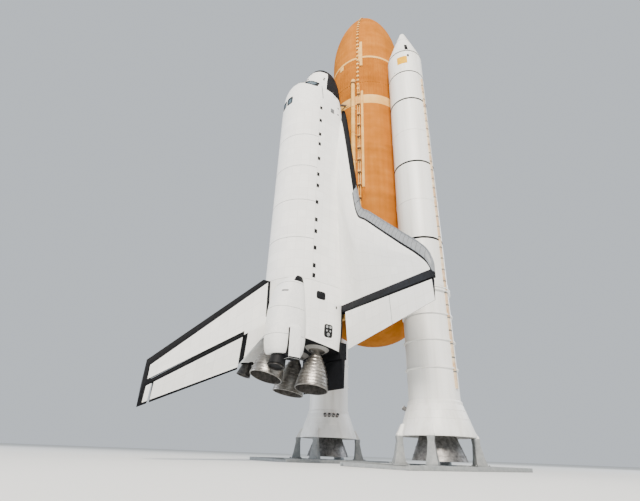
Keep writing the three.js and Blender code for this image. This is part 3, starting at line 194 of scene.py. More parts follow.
def lathe(profile, sides=96, centre=(0, 0), zones=None, mat=0):
    """A profile of (radius, height above the floor) in inches, turned round an upright axis."""
    foot = (centre[0] * INCH, (centre[1] + DEPTH_SHIFT) * INCH, 0)
    return spun(profile, foot, (0, 0, 1), sides, zones, mat)


def joined_mesh(name, parts, bevel=0.0):
    verts, faces, picks, corners = [], [], [], []
    for part_verts, part_faces, part_picks, part_corners in parts:
        shift = len(verts)
        verts.extend(map(tuple, part_verts))
        faces.extend([[k + shift for k in face] for face in part_faces])
        picks.extend(part_picks)
        corners.extend(part_corners)
    mesh = bpy.data.meshes.new(name)
    mesh.from_pydata(verts, [], faces)
    layer = mesh.uv_layers.new(name="metres")
    layer.data.foreach_set("uv", np.array(corners, np.float32).ravel())
    mesh.polygons.foreach_set("material_index", picks)
    work = bmesh.new()
    work.from_mesh(mesh)
    bmesh.ops.remove_doubles(work, verts=work.verts, dist=2e-5)
    bmesh.ops.dissolve_degenerate(work, edges=work.edges, dist=1e-5)
    if bevel:
        hard = [e for e in work.edges if len(e.link_faces) == 2 and e.calc_face_angle(0) > 0.6]
        bmesh.ops.bevel(work, geom=hard, offset=bevel, segments=2, profile=0.6, affect="EDGES",
                        clamp_overlap=True)
    work.to_mesh(mesh)
    work.free()
    return mesh


def piece(name, parts, materials, body, replaces=(), sharp=32, bevel=0.0, cuts=()):
    """One object from its parts, riding on a body and standing for the solids it covers."""
    made = bpy.data.objects.new(name, joined_mesh(name, parts, bevel))
    bpy.context.collection.objects.link(made)
    for operation, cutter_parts in cuts:
        cutter = bpy.data.objects.new("cutter", joined_mesh("cutter", cutter_parts))
        bpy.context.collection.objects.link(cutter)
        step = made.modifiers.new("cut", "BOOLEAN")
        step.operation, step.solver, step.object, step.material_mode = operation, "EXACT", cutter, "INDEX"
        carved = bpy.data.meshes.new_from_object(made.evaluated_get(bpy.context.evaluated_depsgraph_get()))
        made.modifiers.clear()
        made.data = carved
        bpy.data.objects.remove(cutter)
    mesh = made.data
    for each in materials:
        mesh.materials.append(each)
    mesh.shade_smooth()
    mesh.set_sharp_from_angle(angle=math.radians(sharp))
    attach(made, body)
    if replaces:
        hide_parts(*replaces)
    return made


def sprayed_foam(name, dark, mid, pale, streak=0.35):
    """Polyurethane foam: cellular and matt, tanned unevenly, with run-down streaks."""
    made, tree = bare_material(name)
    place = put(tree, "TexCoord")
    spots = put(tree, "TexNoise",
                {"Vector": place.outputs["Object"], "Scale": 1.1, "Detail": 6.0, "Roughness": 0.6})
    stretch = put(tree, "Mapping", {"Vector": place.outputs["Object"], "Scale": (5.0, 5.0, 0.16)})
    runs = put(tree, "TexNoise",
               {"Vector": stretch.outputs[0], "Scale": 1.0, "Detail": 4.0, "Roughness": 0.65})
    bands = put(tree, "Mapping", {"Vector": place.outputs["Object"], "Scale": (0.05, 0.05, 2.6)})
    rings = put(tree, "TexNoise", {"Vector": bands.outputs[0], "Scale": 1.0, "Detail": 3.0})
    blend = put(tree, "Mix", {"Factor": streak, "A": spots.outputs["Fac"], "B": runs.outputs["Fac"]})
    mixed = put(tree, "Mix", {"Factor": 0.25, "A": blend.outputs[0], "B": rings.outputs["Fac"]})
    ramp = put(tree, "ValToRGB", {"Fac": mixed.outputs[0]}, ((0.36, dark), (0.5, mid), (0.64, pale)))
    # Real cells are under a millimetre; they are drawn at 25 mm so that they show at all.
    cells = put(tree, "TexNoise", {"Vector": place.outputs["Object"], "Scale": 38.0, "Detail": 3.0})
    bump = put(tree, "Bump", {"Height": cells.outputs["Fac"], "Strength": 0.35, "Distance": 0.012})
    shade = put(tree, "BsdfPrincipled", {"Base Color": ramp.outputs["Color"], "Roughness": 1.0,
                                         "Normal": bump.outputs["Normal"], "Specular IOR Level": 0.06})
    put(tree, "OutputMaterial", {"Surface": shade.outputs["BSDF"]})
    return made


tank_foam = sprayed_foam("sprayed_orange_foam", "#a2611c", "#b16c25", "#bd7931")
intertank_foam = sprayed_foam("sprayed_intertank_foam", "#98591b", "#a86521", "#b5722c")
band_foam = sprayed_foam("later_closeout_foam", "#d4a25a", "#deb16c", "#e6bf80", 0.15)
pale_foam = sprayed_foam("poured_pale_foam", "#cf9a52", "#dcae68", "#e6c083", 0.2)

TANK_RADIUS = 165.4
RIM_RADIUS = 166.0
OGIVE_RADIUS = 612
OGIVE_END = 745
OXYGEN_TANK_END = 852.7


def up(station):
    """Height above the floor, in inches, of a tank station."""
    return FLOOR_STATION - station


def ogive(station):
    if station > OGIVE_END:
        return TANK_RADIUS
    return math.sqrt(OGIVE_RADIUS ** 2 - (OGIVE_END - station) ** 2) - (OGIVE_RADIUS - TANK_RADIUS)


profile = [(ogive(s), up(s)) for s in np.linspace(371, OGIVE_END, 36)]
profile += [(TANK_RADIUS, up(790)), (TANK_RADIUS, up(843)), (RIM_RADIUS, up(845)),
            (RIM_RADIUS, up(OXYGEN_TANK_END))]
parts = [lathe(profile + [(0, up(OXYGEN_TANK_END))], 144,
               zones=lambda i, j: 1 if i == len(profile) - 2 else 0)]
piece("oxygen_tank_foam", parts, [tank_foam, band_foam], "stack", ["oxygen_tank"])

profile = [(0, up(322.6)), (1.1, up(323.4)), (2.6, up(338)), (4.6, up(341)), (5.2, up(344)),
           (24, up(355)), (35.5, up(366)), (37.6, up(368)), (38.2, up(370.9)), (0, up(370.9))]
piece("tank_nose_cone_shell", [lathe(profile, 64, zones=lambda i, j: 1 if 4 <= i <= 6 else 0)],
      [pale_foam, tank_foam], "stack", ["tank_nose_cone"])


# Intertank. A riveted ring of ribbed panels between the two propellant tanks, sprayed over with
# the same foam. The ribs run down it, and a smoother thrust panel faces each booster.
def on_tank(x, y, station):
    """A point given in tank inches: x to starboard, y away from the orbiter, station down."""
    return np.array([x * INCH, (y + DEPTH_SHIFT) * INCH, (FLOOR_STATION - station) * INCH])


INTERTANK_START, INTERTANK_END = 852.8, 1129.9
RIBS = 96
RIB_PROFILE = [(0.0, -1.5), (0.25, -1.5), (0.36, 0.0), (0.64, 0.0), (0.75, -1.5)]
ring = []
for rib in range(RIBS):
    for share, proud in RIB_PROFILE:
        turn = (rib + share) / RIBS * 2 * math.pi
        facing_booster = abs(math.cos(turn)) > math.cos(math.radians(21))
        ring.append((turn, RIM_RADIUS - 0.15 + proud * (0.35 if facing_booster else 1)))
rows = [[on_tank(r * math.cos(a), r * math.sin(a), s) for a, r in ring]
        for s in (INTERTANK_END, INTERTANK_START)]
parts = [solid(rows)]
for top, bottom, mat in ((853, 857, 1), (1014, 1018, 0), (1100, INTERTANK_END, 1)):
    parts.append(lathe([(RIM_RADIUS - 2, up(bottom)), (RIM_RADIUS + 0.1, up(bottom)),
                        (RIM_RADIUS + 0.1, up(top)), (RIM_RADIUS - 2, up(top))], 144, mat=mat))
access_cover = [[on_tank((RIM_RADIUS + 0.25) * math.cos(a), (RIM_RADIUS + 0.25) * math.sin(a), s)
                 for a in np.radians(np.linspace(-91, -83, 9))] for s in (860, 884)]
parts.append(shell(access_cover, mat=1, flip=True))
piece("intertank_ribbed_foam", parts, [intertank_foam, band_foam], "stack", ["intertank"], sharp=20)


# Hydrogen tank. A welded barrel with a domed end, foamed all over. A band of later foam, a little proud
# and a little lighter, covers its upper flange, and the welds between its barrels stand a little proud.
profile = [(0, up(1130)), (RIM_RADIUS, up(1130)), (RIM_RADIUS, up(1147)), (TANK_RADIUS, up(1150))]
for weld in (1377, 1624, 1871):
    profile += [(TANK_RADIUS, up(weld - 5)), (TANK_RADIUS + 0.35, up(weld - 4)),
                (TANK_RADIUS + 0.35, up(weld + 4)), (TANK_RADIUS, up(weld + 5))]
DOME_DROP = 2173 - 2058
profile += [(TANK_RADIUS, up(2040)), (RIM_RADIUS, up(2042)), (RIM_RADIUS, up(2057))]
profile += [(TANK_RADIUS * math.cos(t), up(2058 + DOME_DROP * math.sin(t)))
            for t in np.linspace(0, math.pi / 2, 18)]
parts = [lathe(profile, 144, zones=lambda i, j: 1 if i in (1, 2) else 0)]
piece("hydrogen_tank_foam", parts, [tank_foam, band_foam], "stack", ["hydrogen_tank"])


# Oxygen feedline. A 17-inch insulated pipe from the intertank down the tank's side to the
# disconnect plate at the orbiter's belly, on foam-covered brackets, with a flange at each length.
def at_bearing(bearing, radius, station):
    turn = math.radians(bearing)
    return on_tank(radius * math.cos(turn), radius * math.sin(turn), station)


def rounded(points, reach, steps=7):
    """A polyline with its inner corners turned into smooth bends."""
    points = [np.array(p, float) for p in points]
    path = [points[0]]
    for before, corner, after in zip(points, points[1:], points[2:]):
        into, out = before - corner, after - corner
        trim = min(reach, np.linalg.norm(into) * 0.45, np.linalg.norm(out) * 0.45)
        a, b = corner + into / np.linalg.norm(into) * trim, corner + out / np.linalg.norm(out) * trim
        for t in np.linspace(0, 1, steps):
            path.append((1 - t) ** 2 * a + 2 * t * (1 - t) * corner + t ** 2 * b)
    return path + [points[-1]]


def pipe(path, radius, sides=16, mat=0, caps=(0, 1)):
    """A round tube along a path in metres; radius in inches, one number or one for each point."""
    path = np.array(path, float)
    radii = np.broadcast_to(np.array(radius, float) * INCH, len(path))
    ahead = np.gradient(path, axis=0)
    ahead /= np.linalg.norm(ahead, axis=1)[:, None]
    across = np.cross(ahead[0], [0.31, 0.87, 0.39])
    rows = []
    for point, way, r in zip(path, ahead, radii):
        across = across - way * across.dot(way)
        across /= np.linalg.norm(across)
        other = np.cross(way, across)
        rows.append([point + r * (math.cos(a) * across + math.sin(a) * other)
                     for a in round_turn(sides)])
    return shell(rows, wrap=True, caps=caps, mat=mat)


def bar(start, end, widths, side, mat=0, ends=None):
    """A square bar between two points in metres, widths in inches along side and across it."""
    start, end, side = (np.array(v, float) for v in (start, end, side))
    way = (end - start) / np.linalg.norm(end - start)
    side = side - way * side.dot(way)
    side /= np.linalg.norm(side)
    other = np.cross(way, side)
    rows = []
    for point, (a, b) in ((start, widths), (end, ends or widths)):
        rows.append([point + (i * a * side + j * b * other) * INCH / 2
                     for i, j in ((-1, -1), (1, -1), (1, 1), (-1, 1))])
    return solid(rows, mat=mat)


def block(low, high, mat=0):
    """A box between two corners in metres."""
    low, high = np.minimum(low, high), np.maximum(low, high)
    rows = [[(x, y, z)
             for x, y in ((low[0], low[1]), (high[0], low[1]), (high[0], high[1]), (low[0], high[1]))]
            for z in (low[2], high[2])]
    return solid(rows, mat=mat)


def plain_finish(name, dark, pale, roughness, metallic=0.0, scale=8.0, rough_bump=0.1, gloss=0.5):
    """A paint, rubber or metal with uneven colour and a slightly rough surface."""
    made, tree = bare_material(name)
    place = put(tree, "TexCoord")
    mottle = put(tree, "TexNoise",
                 {"Vector": place.outputs["Object"], "Scale": scale, "Detail": 6.0, "Roughness": 0.6})
    ramp = put(tree, "ValToRGB", {"Fac": mottle.outputs["Fac"]}, ((0.35, dark), (0.65, pale)))
    grain = put(tree, "TexNoise", {"Vector": place.outputs["Object"], "Scale": scale * 9, "Detail": 3.0})
    bump = put(tree, "Bump", {"Height": grain.outputs["Fac"], "Strength": rough_bump, "Distance": 0.01})
    shade = put(tree, "BsdfPrincipled", {"Base Color": ramp.outputs["Color"], "Roughness": roughness,
                                         "Metallic": metallic, "Normal": bump.outputs["Normal"],
                                         "Specular IOR Level": gloss})
    put(tree, "OutputMaterial", {"Surface": shade.outputs["BSDF"]})
    return made


# The seal at the pipe's collar is dark and matt, and the eye sees a thin dark ring.
collar_seal = plain_finish("dark_pipe_collar_seal", "#221a12", "#3a2e22", 0.8)
FEEDLINE_BEARING = -63
FEEDLINE_RUN = RIM_RADIUS + 14
BELLY_Y = -204.5
UMBILICAL_X = 68
UMBILICAL_STATION = 2112
feed_top = at_bearing(FEEDLINE_BEARING, FEEDLINE_RUN, 1010)
feed_bottom = at_bearing(FEEDLINE_BEARING, FEEDLINE_RUN, 2070)
umbilical_end = on_tank(UMBILICAL_X, BELLY_Y + 20, UMBILICAL_STATION - 8)
path = rounded([at_bearing(FEEDLINE_BEARING, 155, 998), feed_top, feed_bottom, umbilical_end], 0.3)
parts = [pipe(path, 9.4, 24, 1)]
for station in (1024, 1180, 1325, 1470, 1615, 1760, 1905, 2050):
    parts.append(pipe([at_bearing(FEEDLINE_BEARING, FEEDLINE_RUN, station + d) for d in (-3, -2.4, 2.4, 3)],
                      [9.6, 10.6, 10.6, 9.6], 24, 1))
parts.append(pipe([at_bearing(FEEDLINE_BEARING, FEEDLINE_RUN, 1034 + d) for d in (-4, -3, 3, 4)],
                  [9.6, 11.4, 11.4, 9.6], 24, 2))
tangent = np.array([-math.sin(math.radians(FEEDLINE_BEARING)), math.cos(math.radians(FEEDLINE_BEARING)), 0])
for station in (1180, 1325, 1470, 1615, 1760, 1905, 2050):
    parts.append(bar(at_bearing(FEEDLINE_BEARING, 163, station), at_bearing(FEEDLINE_BEARING, 174, station),
                     (20, 9), tangent, 1, (11, 6)))


def disconnect_plate(side):
    x, half = side * UMBILICAL_X, 19
    return [block(on_tank(x - half, BELLY_Y + 0.1, UMBILICAL_STATION + 24),
                  on_tank(x + half, BELLY_Y + 18, UMBILICAL_STATION - 24), 1),
            block(on_tank(x - half + 3, BELLY_Y + 17, UMBILICAL_STATION + 20),
                  on_tank(x + half - 3, BELLY_Y + 22, UMBILICAL_STATION - 20), 0)]


piece("oxygen_feedline_pipe", parts + disconnect_plate(1), [tank_foam, pale_foam, collar_seal], "stack",
      ["oxygen_feedline"], bevel=0.006)


# Hydrogen umbilical. The same kind of insulated pipe, but short. It runs from the tank's aft dome
# to the port disconnect plate.
path = rounded([on_tank(-UMBILICAL_X + 14, -128, UMBILICAL_STATION + 12),
                on_tank(-UMBILICAL_X, BELLY_Y + 34, UMBILICAL_STATION + 8),
                on_tank(-UMBILICAL_X, BELLY_Y + 18, UMBILICAL_STATION + 6)], 0.2)
piece("hydrogen_umbilical_pipe", [pipe(path, 9.4, 24)] + disconnect_plate(-1), [tank_foam, pale_foam],
      "stack", ["hydrogen_umbilical"], bevel=0.006)


# Cable trays and gas line. Sheet-metal trays on brackets, with foam ramps poured over the
# brackets, run from the nose to the aft dome, and the pressurisation line runs beside them.
TRAY_BEARING = -55.5
LINE_BEARING = -50.5


def tray_frame(bearing):
    turn = math.radians(bearing)
    return np.array([math.cos(turn), math.sin(turn), 0]), np.array([-math.sin(turn), math.cos(turn), 0])


def tray(bearing, stations, radius_at, width, height, mat=0):
    outward, sideways = tray_frame(bearing)
    rows = []
    for s in stations:
        seat = at_bearing(bearing, radius_at(s), s)
        rows.append([seat + (i * width / 2 * sideways + j * height * outward) * INCH
                     for i, j in ((-1, 0), (1, 0), (1, 0.85), (0.9, 1), (-0.9, 1), (-1, 0.85))])
    return solid(rows, mat=mat)


# Painted shadow: dark brown matt blocks below the brackets stand in for their shade, as dark rungs.
painted_bracket_shadow = plain_finish("painted_shadow_below_brackets", "#2b1a0c", "#4a2f17", 0.8)
parts = [tray(LINE_BEARING, (1078, 1079, 1599, 1600), lambda s: RIM_RADIUS - 1, 11, 6.5, 1),
         tray(LINE_BEARING, (1600.1, 1700, 2040), lambda s: RIM_RADIUS - 1, 7, 5)]
for shift in (-1.5, 1.0):
    parts.append(pipe([at_bearing(TRAY_BEARING + shift, RIM_RADIUS + 5, s) for s in (1040, 1500, 2040)],
                      1.7, 12, 1))
for station in np.arange(1090, 2040, 61.6):
    outward, sideways = tray_frame(TRAY_BEARING - 0.2)
    foot = at_bearing(TRAY_BEARING - 0.2, 164.5, station)
    lower = at_bearing(TRAY_BEARING - 0.2, 164.5, station + 9)
    parts.append(bar(foot, foot + outward * 9.5 * INCH, (14, 8), sideways, 1, (13, 6)))
    # A dark block of painted shadow just below each bracket.
    parts.append(bar(lower, lower + outward * 8.5 * INCH, (14, 10), sideways, 2, (13, 8)))
piece("hydrogen_tank_cable_tray", parts, [tank_foam, pale_foam, painted_bracket_shadow], "stack",
      ["hydrogen_tank_tray"], bevel=0.004)

stations = np.concatenate([np.linspace(372, OGIVE_END, 30), [800, 900, 1000, 1084]])
parts = [tray(TRAY_BEARING - 1, stations, lambda s: ogive(s) - 1.0, 7, 5.2)]
for station in np.concatenate([np.arange(410, 740, 27), np.arange(760, 1080, 27)]):
    parts.append(tray(TRAY_BEARING - 1, [station - 5, station - 3, station + 3, station + 5],
                      lambda s, c=station: ogive(s) - 1.2 + (0.8 if abs(s - c) < 4 else 0), 11, 6, 1))
    # A dark block of painted shadow just below each bracket.
    parts.append(tray(TRAY_BEARING - 1, [station + 5.2, station + 10], lambda s: ogive(s) - 1.2, 9, 5.6, 2))
parts.append(tray(LINE_BEARING - 0.5, [746, 752, 904, 912], lambda s: RIM_RADIUS - 1.2, 13, 6, 1))
parts.append(tray(TRAY_BEARING + 2.5, [780, 785, 875, 880], lambda s: RIM_RADIUS - 1.2, 16, 4, 1))
piece("oxygen_tank_cable_tray", parts, [tank_foam, pale_foam, painted_bracket_shadow], "stack",
      ["oxygen_tank_tray"])


# Forward bipod and aft frame. Forged struts hold the orbiter off the tank at three points. They
# are bare or primed metal with foam poured over their feet.
# Brown primer on a forging: half matt, with a soft light along each strut.
primed_forging = plain_finish("brown_primed_forging", "#3d2c20", "#5b4534", 0.55)

apex = on_tank(0, -219, INTERTANK_END)
parts = []
for side in (-1, 1):
    foot = on_tank(side * 42, -157, INTERTANK_END + 4)
    parts.append(pipe([foot, foot * 0.9 + apex * 0.1, foot * 0.1 + apex * 0.9, apex],
                      [3.4, 4.5, 4.4, 3], 20))
    parts.append(tray(math.degrees(math.atan2(-157, side * 42)),
                      [INTERTANK_END - 8, INTERTANK_END - 4, INTERTANK_END + 14], lambda s: 156, 15, 12, 1))
parts.append(pipe([on_tank(0, -212, INTERTANK_END), on_tank(0, -226, INTERTANK_END),
                   on_tank(0, -240, INTERTANK_END)], [7.2, 6.2, 5.4], 20))
piece("forward_bipod_struts", parts, [primed_forging, pale_foam], "stack", ["forward_bipod"])

AFT_STATION, AFT_X, AFT_Y = 2058, 96.5, -187
parts = [pipe([on_tank(-AFT_X, AFT_Y, AFT_STATION), on_tank(AFT_X, AFT_Y, AFT_STATION)], 6, 20, 1)]
for side in (-1, 1):
    ball = on_tank(side * AFT_X, AFT_Y, AFT_STATION)
    parts.append(pipe([ball, on_tank(side * 112, -110, AFT_STATION)], 6, 20, 1))
    parts.append(pipe([ball, on_tank(side * 132, -100, 1885)], 6, 20, 1))
    parts.append(pipe([ball, on_tank(side * AFT_X, BELLY_Y + 0.06, AFT_STATION)], 8, 20))
    parts.append(pipe([ball + np.array([0, 0, -0.1]), ball + np.array([0, 0, 0.1])], 8.5, 20))
parts.append(pipe([on_tank(-AFT_X, AFT_Y, AFT_STATION), on_tank(50, -142, AFT_STATION)], 5, 16, 1))
piece("aft_attach_struts", parts, [primed_forging, pale_foam], "stack", ["aft_attach_frame"])


# Solid boosters. Each is a stack of forged steel case segments with pinned field joints, painted
# gloss white, with a systems tunnel down its outboard side and a turned nose, frustum and skirts.
# Epoxy paint rolled on steel: smooth enough for a long soft highlight, with faint runs down it.
booster_paint, tree = bare_material("white_epoxy_paint")
place = put(tree, "TexCoord")
stretch = put(tree, "Mapping", {"Vector": place.outputs["Object"], "Scale": (3.0, 3.0, 0.12)})
runs = put(tree, "TexNoise", {"Vector": stretch.outputs[0], "Scale": 1.0, "Detail": 6.0, "Roughness": 0.7})
ramp = put(tree, "ValToRGB", {"Fac": runs.outputs["Fac"]}, ((0.28, "#deddd8"), (0.55, "#f3f3f0")))
ripple = put(tree, "TexNoise", {"Vector": place.outputs["Object"], "Scale": 5.0, "Detail": 2.0})
bump = put(tree, "Bump", {"Height": ripple.outputs["Fac"], "Strength": 0.12, "Distance": 0.01})
shade = put(tree, "BsdfPrincipled", {"Base Color": ramp.outputs["Color"], "Roughness": 0.42,
                                     "Normal": bump.outputs["Normal"]})
put(tree, "OutputMaterial", {"Surface": shade.outputs["BSDF"]})

# Sealed joints and pads are dull black, the tunnel's cream covers and the yellow patch are flat
# paint, the nozzle's lining is charred and rough inside a duller metal, and the stand is enamelled.
joint_cork = plain_finish("dark_sealed_joint", "#080809", "#151515", 0.9, gloss=0.1)
tunnel_paint = plain_finish("cream_tunnel_cover", "#c49d74", "#e2cfae", 0.6, scale=3.0)
rubber_pad = plain_finish("black_rubber_pad", "#0e0e10", "#1b1b1d", 0.8, gloss=0.2)
yellow_paint = plain_finish("yellow_patch_paint", "#d69c00", "#e6ae00", 0.7, gloss=0.15)
seal_line = plain_finish("grey_seal_line", "#4a4a49", "#6f6e6a", 0.7)
charred_metal = plain_finish("ablative_nozzle_lining", "#1d1c1c", "#3a3734", 0.85)
nozzle_shell = plain_finish("booster_nozzle_metal", "#5c5b5a", "#8b8987", 0.45, 0.7)
platform_steel = plain_finish("grey_platform_enamel", "#868a8b", "#999c9c", 0.55)


def smooth(table, at):
    """Values of a table's columns at a place along its first one, with no overshoot between rows."""
    table = np.array(table, float)
    x, y = table[:, 0], table[:, 1:]
    steps = np.diff(y, axis=0) / np.diff(x)[:, None]
    slopes = np.zeros_like(y)
    same = steps[:-1] * steps[1:] > 0
    slopes[1:-1][same] = 2 / (1 / steps[:-1][same] + 1 / steps[1:][same])
    slopes[0], slopes[-1] = steps[0], steps[-1]
    i = int(np.clip(np.searchsorted(x, at, side="right") - 1, 0, len(x) - 2))
    span = x[i + 1] - x[i]
    t = min(max((at - x[i]) / span, 0), 1)
    return (y[i] * (1 + 2 * t) * (1 - t) ** 2 + slopes[i] * span * t * (1 - t) ** 2
            + y[i + 1] * t * t * (3 - 2 * t) + slopes[i + 1] * span * t * t * (t - 1))


CASE = 73  # radius of the motor case, in inches
BOOSTER_SPACING = 250.5
NOSE_END = 400.95
SKIRT_START, SKIRT_END = 401.05, 530
MOTOR_START, MOTOR_END = 531, 1836.9
ATTACH_RING = (1517, 1505)
AFT_SKIRT = (1837, 1930.6)
POST_BEARINGS = (60, 120, 240, 300)
FACTORY_JOINTS = (691.5, 1011.5, 1331.5)
FIELD_JOINTS = (851.5, 1171.5, 1491.5)
STIFFENERS = (1591, 1671, 1751)
JOINT_SECTIONS = {"factory": (3.3, 0.7, 1), "field": (6.5, 1.1, 0), "ring": (1.6, 4.0, 0)}
NOZZLE_PIVOT = 1850


def high(station):
    """Height above the floor, in inches, of a booster station."""
    return FLOOR_STATION - 543 - station


for side, hand in ((1, "starboard"), (-1, "port")):
    axis = (side * BOOSTER_SPACING, 0)

    def around(bearing, radius, station, side=side):
        """A point round the booster, its bearing counted from outboard."""
        turn = math.radians(bearing if side > 0 else 180 - bearing)
        x = side * BOOSTER_SPACING + radius * math.cos(turn)
        return np.array([x * INCH, (DEPTH_SHIFT + radius * math.sin(turn)) * INCH, high(station) * INCH])

    def off_axis(x, y, height, side=side):
        return np.array([(side * BOOSTER_SPACING + x) * INCH, (DEPTH_SHIFT + y) * INCH, height * INCH])

    def patch(bearing, half_angle, stations, radius_at, proud, mat, side=side):
        """A thin applied patch that follows the booster's skin."""
        rows = [[around(bearing + a, radius_at(s) + proud, s)
                 for a in np.linspace(-half_angle, half_angle, 9)]
                for s in stations]
        return shell(rows, mat=mat, flip=side > 0)

    # Nose cap and frustum
    profile = [(0, high(200)), (4.5, high(200.8)), (9, high(203.6)), (12.6, high(209)), (14.2, high(216)),
               (34, high(275)), (34.7, high(275.4)), (34.7, high(277)), (72.4, high(398)),
               (CASE, high(399.4)), (CASE, high(NOSE_END)), (0, high(NOSE_END))]
    parts = [lathe(profile, 96, axis, zones=lambda i, j: 1 if i == 6 else 0)]
    for bearing in (205, 216, 227, 238):
        parts.append(patch(bearing, 4, (352, 358, 364), lambda s: 34.7 + (s - 277) * 37.7 / 121, 0.35, 2))
    if side > 0:
        parts.append(patch(-40, 6, (345, 372, 399), lambda s: 34 + (s - 275) * 39 / 126, 0.4, 2))
    piece(f"booster_nose_{hand}_shell", parts, [booster_paint, seal_line, rubber_pad], "stack",
          [f"booster_nose_{hand}"])

    # Forward skirt with its thrust post
    profile = [(0, high(SKIRT_START)), (CASE, high(SKIRT_START)), (CASE, high(402)), (72.6, high(402.4)),
               (72.6, high(408)), (CASE, high(408.4)), (CASE, high(440)), (CASE, high(SKIRT_END)),
               (0, high(530.9))]
    parts = [lathe(profile, 96, axis, zones=lambda i, j: 1 if i in (2, 3, 4) else 0)]
    parts.append(block(off_axis(-side * 60, -9, high(452)), off_axis(-side * 84.2, 9, high(434))))
    if side > 0:
        parts.append(patch(-58, 17, (440, 462, 484), lambda s: CASE, 0.12, 2))
        parts.append(patch(-37, 3.2, (430, 437, 444), lambda s: CASE, 0.14, 3))
        parts.append(patch(-87, 1.6, (517, 519, 521), lambda s: CASE, 0.14, 3))
    piece(f"booster_forward_skirt_{hand}_shell", parts, [booster_paint, seal_line, yellow_paint, rubber_pad],
          "stack", [f"booster_forward_skirt_{hand}"])

    # Motor case
    profile = [(0, high(MOTOR_START)), (CASE, high(MOTOR_START)), (CASE, high(533)), (72.7, high(533.4)),
               (72.7, high(536)), (CASE, high(536.4))]
    kinds = [0, 1, 1, 1, 0]
    marks = [(s, "factory") for s in FACTORY_JOINTS] + [(s, "field") for s in FIELD_JOINTS]
    for station, kind in sorted(marks + [(s, "ring") for s in STIFFENERS]):
        half, proud, mat = JOINT_SECTIONS[kind]
        profile += [(CASE, high(station - half - 0.4)), (CASE + proud, high(station - half)),
                    (CASE + proud, high(station + half)), (CASE, high(station + half + 0.4))]
        kinds += [0, mat, mat, mat]
    profile += [(CASE, high(MOTOR_END)), (60, high(MOTOR_END)), (20, high(1838)), (8, high(1844)),
                (6.5, high(1849)), (0, high(1849))]
    kinds += [0] * 6
    parts = [lathe(profile, 96, axis, zones=lambda i, j: kinds[i] if i < len(kinds) else 0)]
    for stations, extra, mat in [((560, 1806), 0, 2)] + [((s - 2, s + 2), 0.4, 3)
                                                         for s in np.arange(600, 1800, 40)]:
        rows = [[around(8 + math.degrees(w / CASE), CASE + h, s)
                 for w, h in ((-5.5 - extra, -1), (-5 - extra, 3.2 + extra), (-3.6 - extra, 4.5 + extra),
                              (3.6 + extra, 4.5 + extra), (5 + extra, 3.2 + extra), (5.5 + extra, -1))]
                for s in stations]
        parts.append(solid(rows, mat=mat, flip=side > 0))
    piece(f"booster_motor_{hand}_case", parts, [booster_paint, joint_cork, tunnel_paint, seal_line],
          "stack", [f"booster_motor_{hand}"])

    # Attach ring and its struts to the tank
    low, top = (high(s) for s in ATTACH_RING)
    middle = (low + top) / 2
    profile = [(CASE + 0.05, low), (79, low), (79, low + 2), (76, low + 2.6), (76, top - 2.6), (79, top - 2),
               (79, top), (CASE + 0.05, top)]
    parts = [lathe(profile, 96, axis)]
    for across in (-1, 1):
        parts.append(pipe([off_axis(-side * 40, across * 66, middle),
                           off_axis(-side * 118, across * 106, middle)], 3.4, 16))
        parts.append(pipe([off_axis(-side * 37, across * 64, middle),
                           off_axis(-side * 44, across * 68, middle)], 5.2, 16, 1))
    parts.append(pipe([off_axis(-side * 58, -52, middle), off_axis(-side * 106, 60, middle)], 3.4, 16))
    piece(f"booster_attach_ring_{hand}_forging", parts, [booster_paint, joint_cork], "stack",
          [f"booster_attach_ring_{hand}"])

    # Aft skirt with its four hold-down shoes
    top, bottom = (high(s) for s in AFT_SKIRT)
    profile = [(74, top), (77, top - 4), (77, top - 12), (78.4, top - 12.6), (104, bottom + 7), (104, bottom),
               (99, bottom), (99, bottom + 6), (70, top - 14), (67, top), (74, top)]
    parts = [lathe(profile, 96, axis)]
    for bearing in POST_BEARINGS:
        way, across = np.array(tray_frame(bearing))
        ring = [[off_axis(0, 0, h) + (r * way + v * across) * INCH
                 for r, v in ((near, -w), (far, -w), (far, w), (near, w))]
                for h, near, far, w in ((bottom, 98, 117, 9), (bottom + 5, 98, 117, 9),
                                        (bottom + 8, 97, 114, 7), (bottom + 30, 92, 103, 6))]
        parts.append(solid(ring))
    for bearing in (196, 206, 216, 226):
        seat, way = around(bearing, 79, 1862), around(bearing, 96, 1850) - around(bearing, 79, 1862)
        parts.append(spun([(0, -4), (5, -4), (5, 4), (6.2, 15), (5.4, 15), (4, 6), (0, 6)],
                          seat, way, 20, mat=1))
    for h in (bottom + 44, bottom + 66):
        r = 104 + (h - bottom - 7) * (78.4 - 104) / (top - 12.6 - bottom - 7)
        parts.append(lathe([(r - 1, h - 1.2), (r + 0.9, h - 1), (r + 0.7, h + 1), (r - 1.6, h + 1.2)],
                           96, axis))
    piece(f"booster_aft_skirt_{hand}_shell", parts, [booster_paint, nozzle_shell], "stack",
          [f"booster_aft_skirt_{hand}"], bevel=0.006)

    # Nozzle
    outside = [(30, -22), (34, -40), (50, -78), (64, -112), (75, -140)]
    outside = [(float(smooth([(-a, r) for r, a in outside], -along)[0]), along)
               for along in np.linspace(-22, -140, 20)]
    inside = [(r - 3, along) for r, along in reversed(outside)]
    profile = [(0, -1.2), (7, -1.2), (7, -8), (28, -12)] + outside + inside + [(22, -24), (0, -24)]
    profile = [(r, high(NOZZLE_PIVOT) + along) for r, along in profile]
    finish = lambda i, j: 1 if i >= 3 + len(outside) else 0
    parts = [lathe(profile, 64, axis, zones=finish)]
    for along in (-60, -84, -106, -126):
        r = float(np.interp(along, [a for _, a in reversed(outside)], [v for v, _ in reversed(outside)]))
        h = high(NOZZLE_PIVOT) + along
        parts.append(lathe([(r - 2, h - 1.5), (r + 1.4, h - 1.5), (r + 0.4, h + 1.5), (r - 2, h + 1.5)],
                           64, axis))
    piece(f"booster_nozzle_{hand}_bell", parts, [nozzle_shell, charred_metal], f"booster_nozzle_{hand}",
          [f"booster_nozzle_{hand}"])

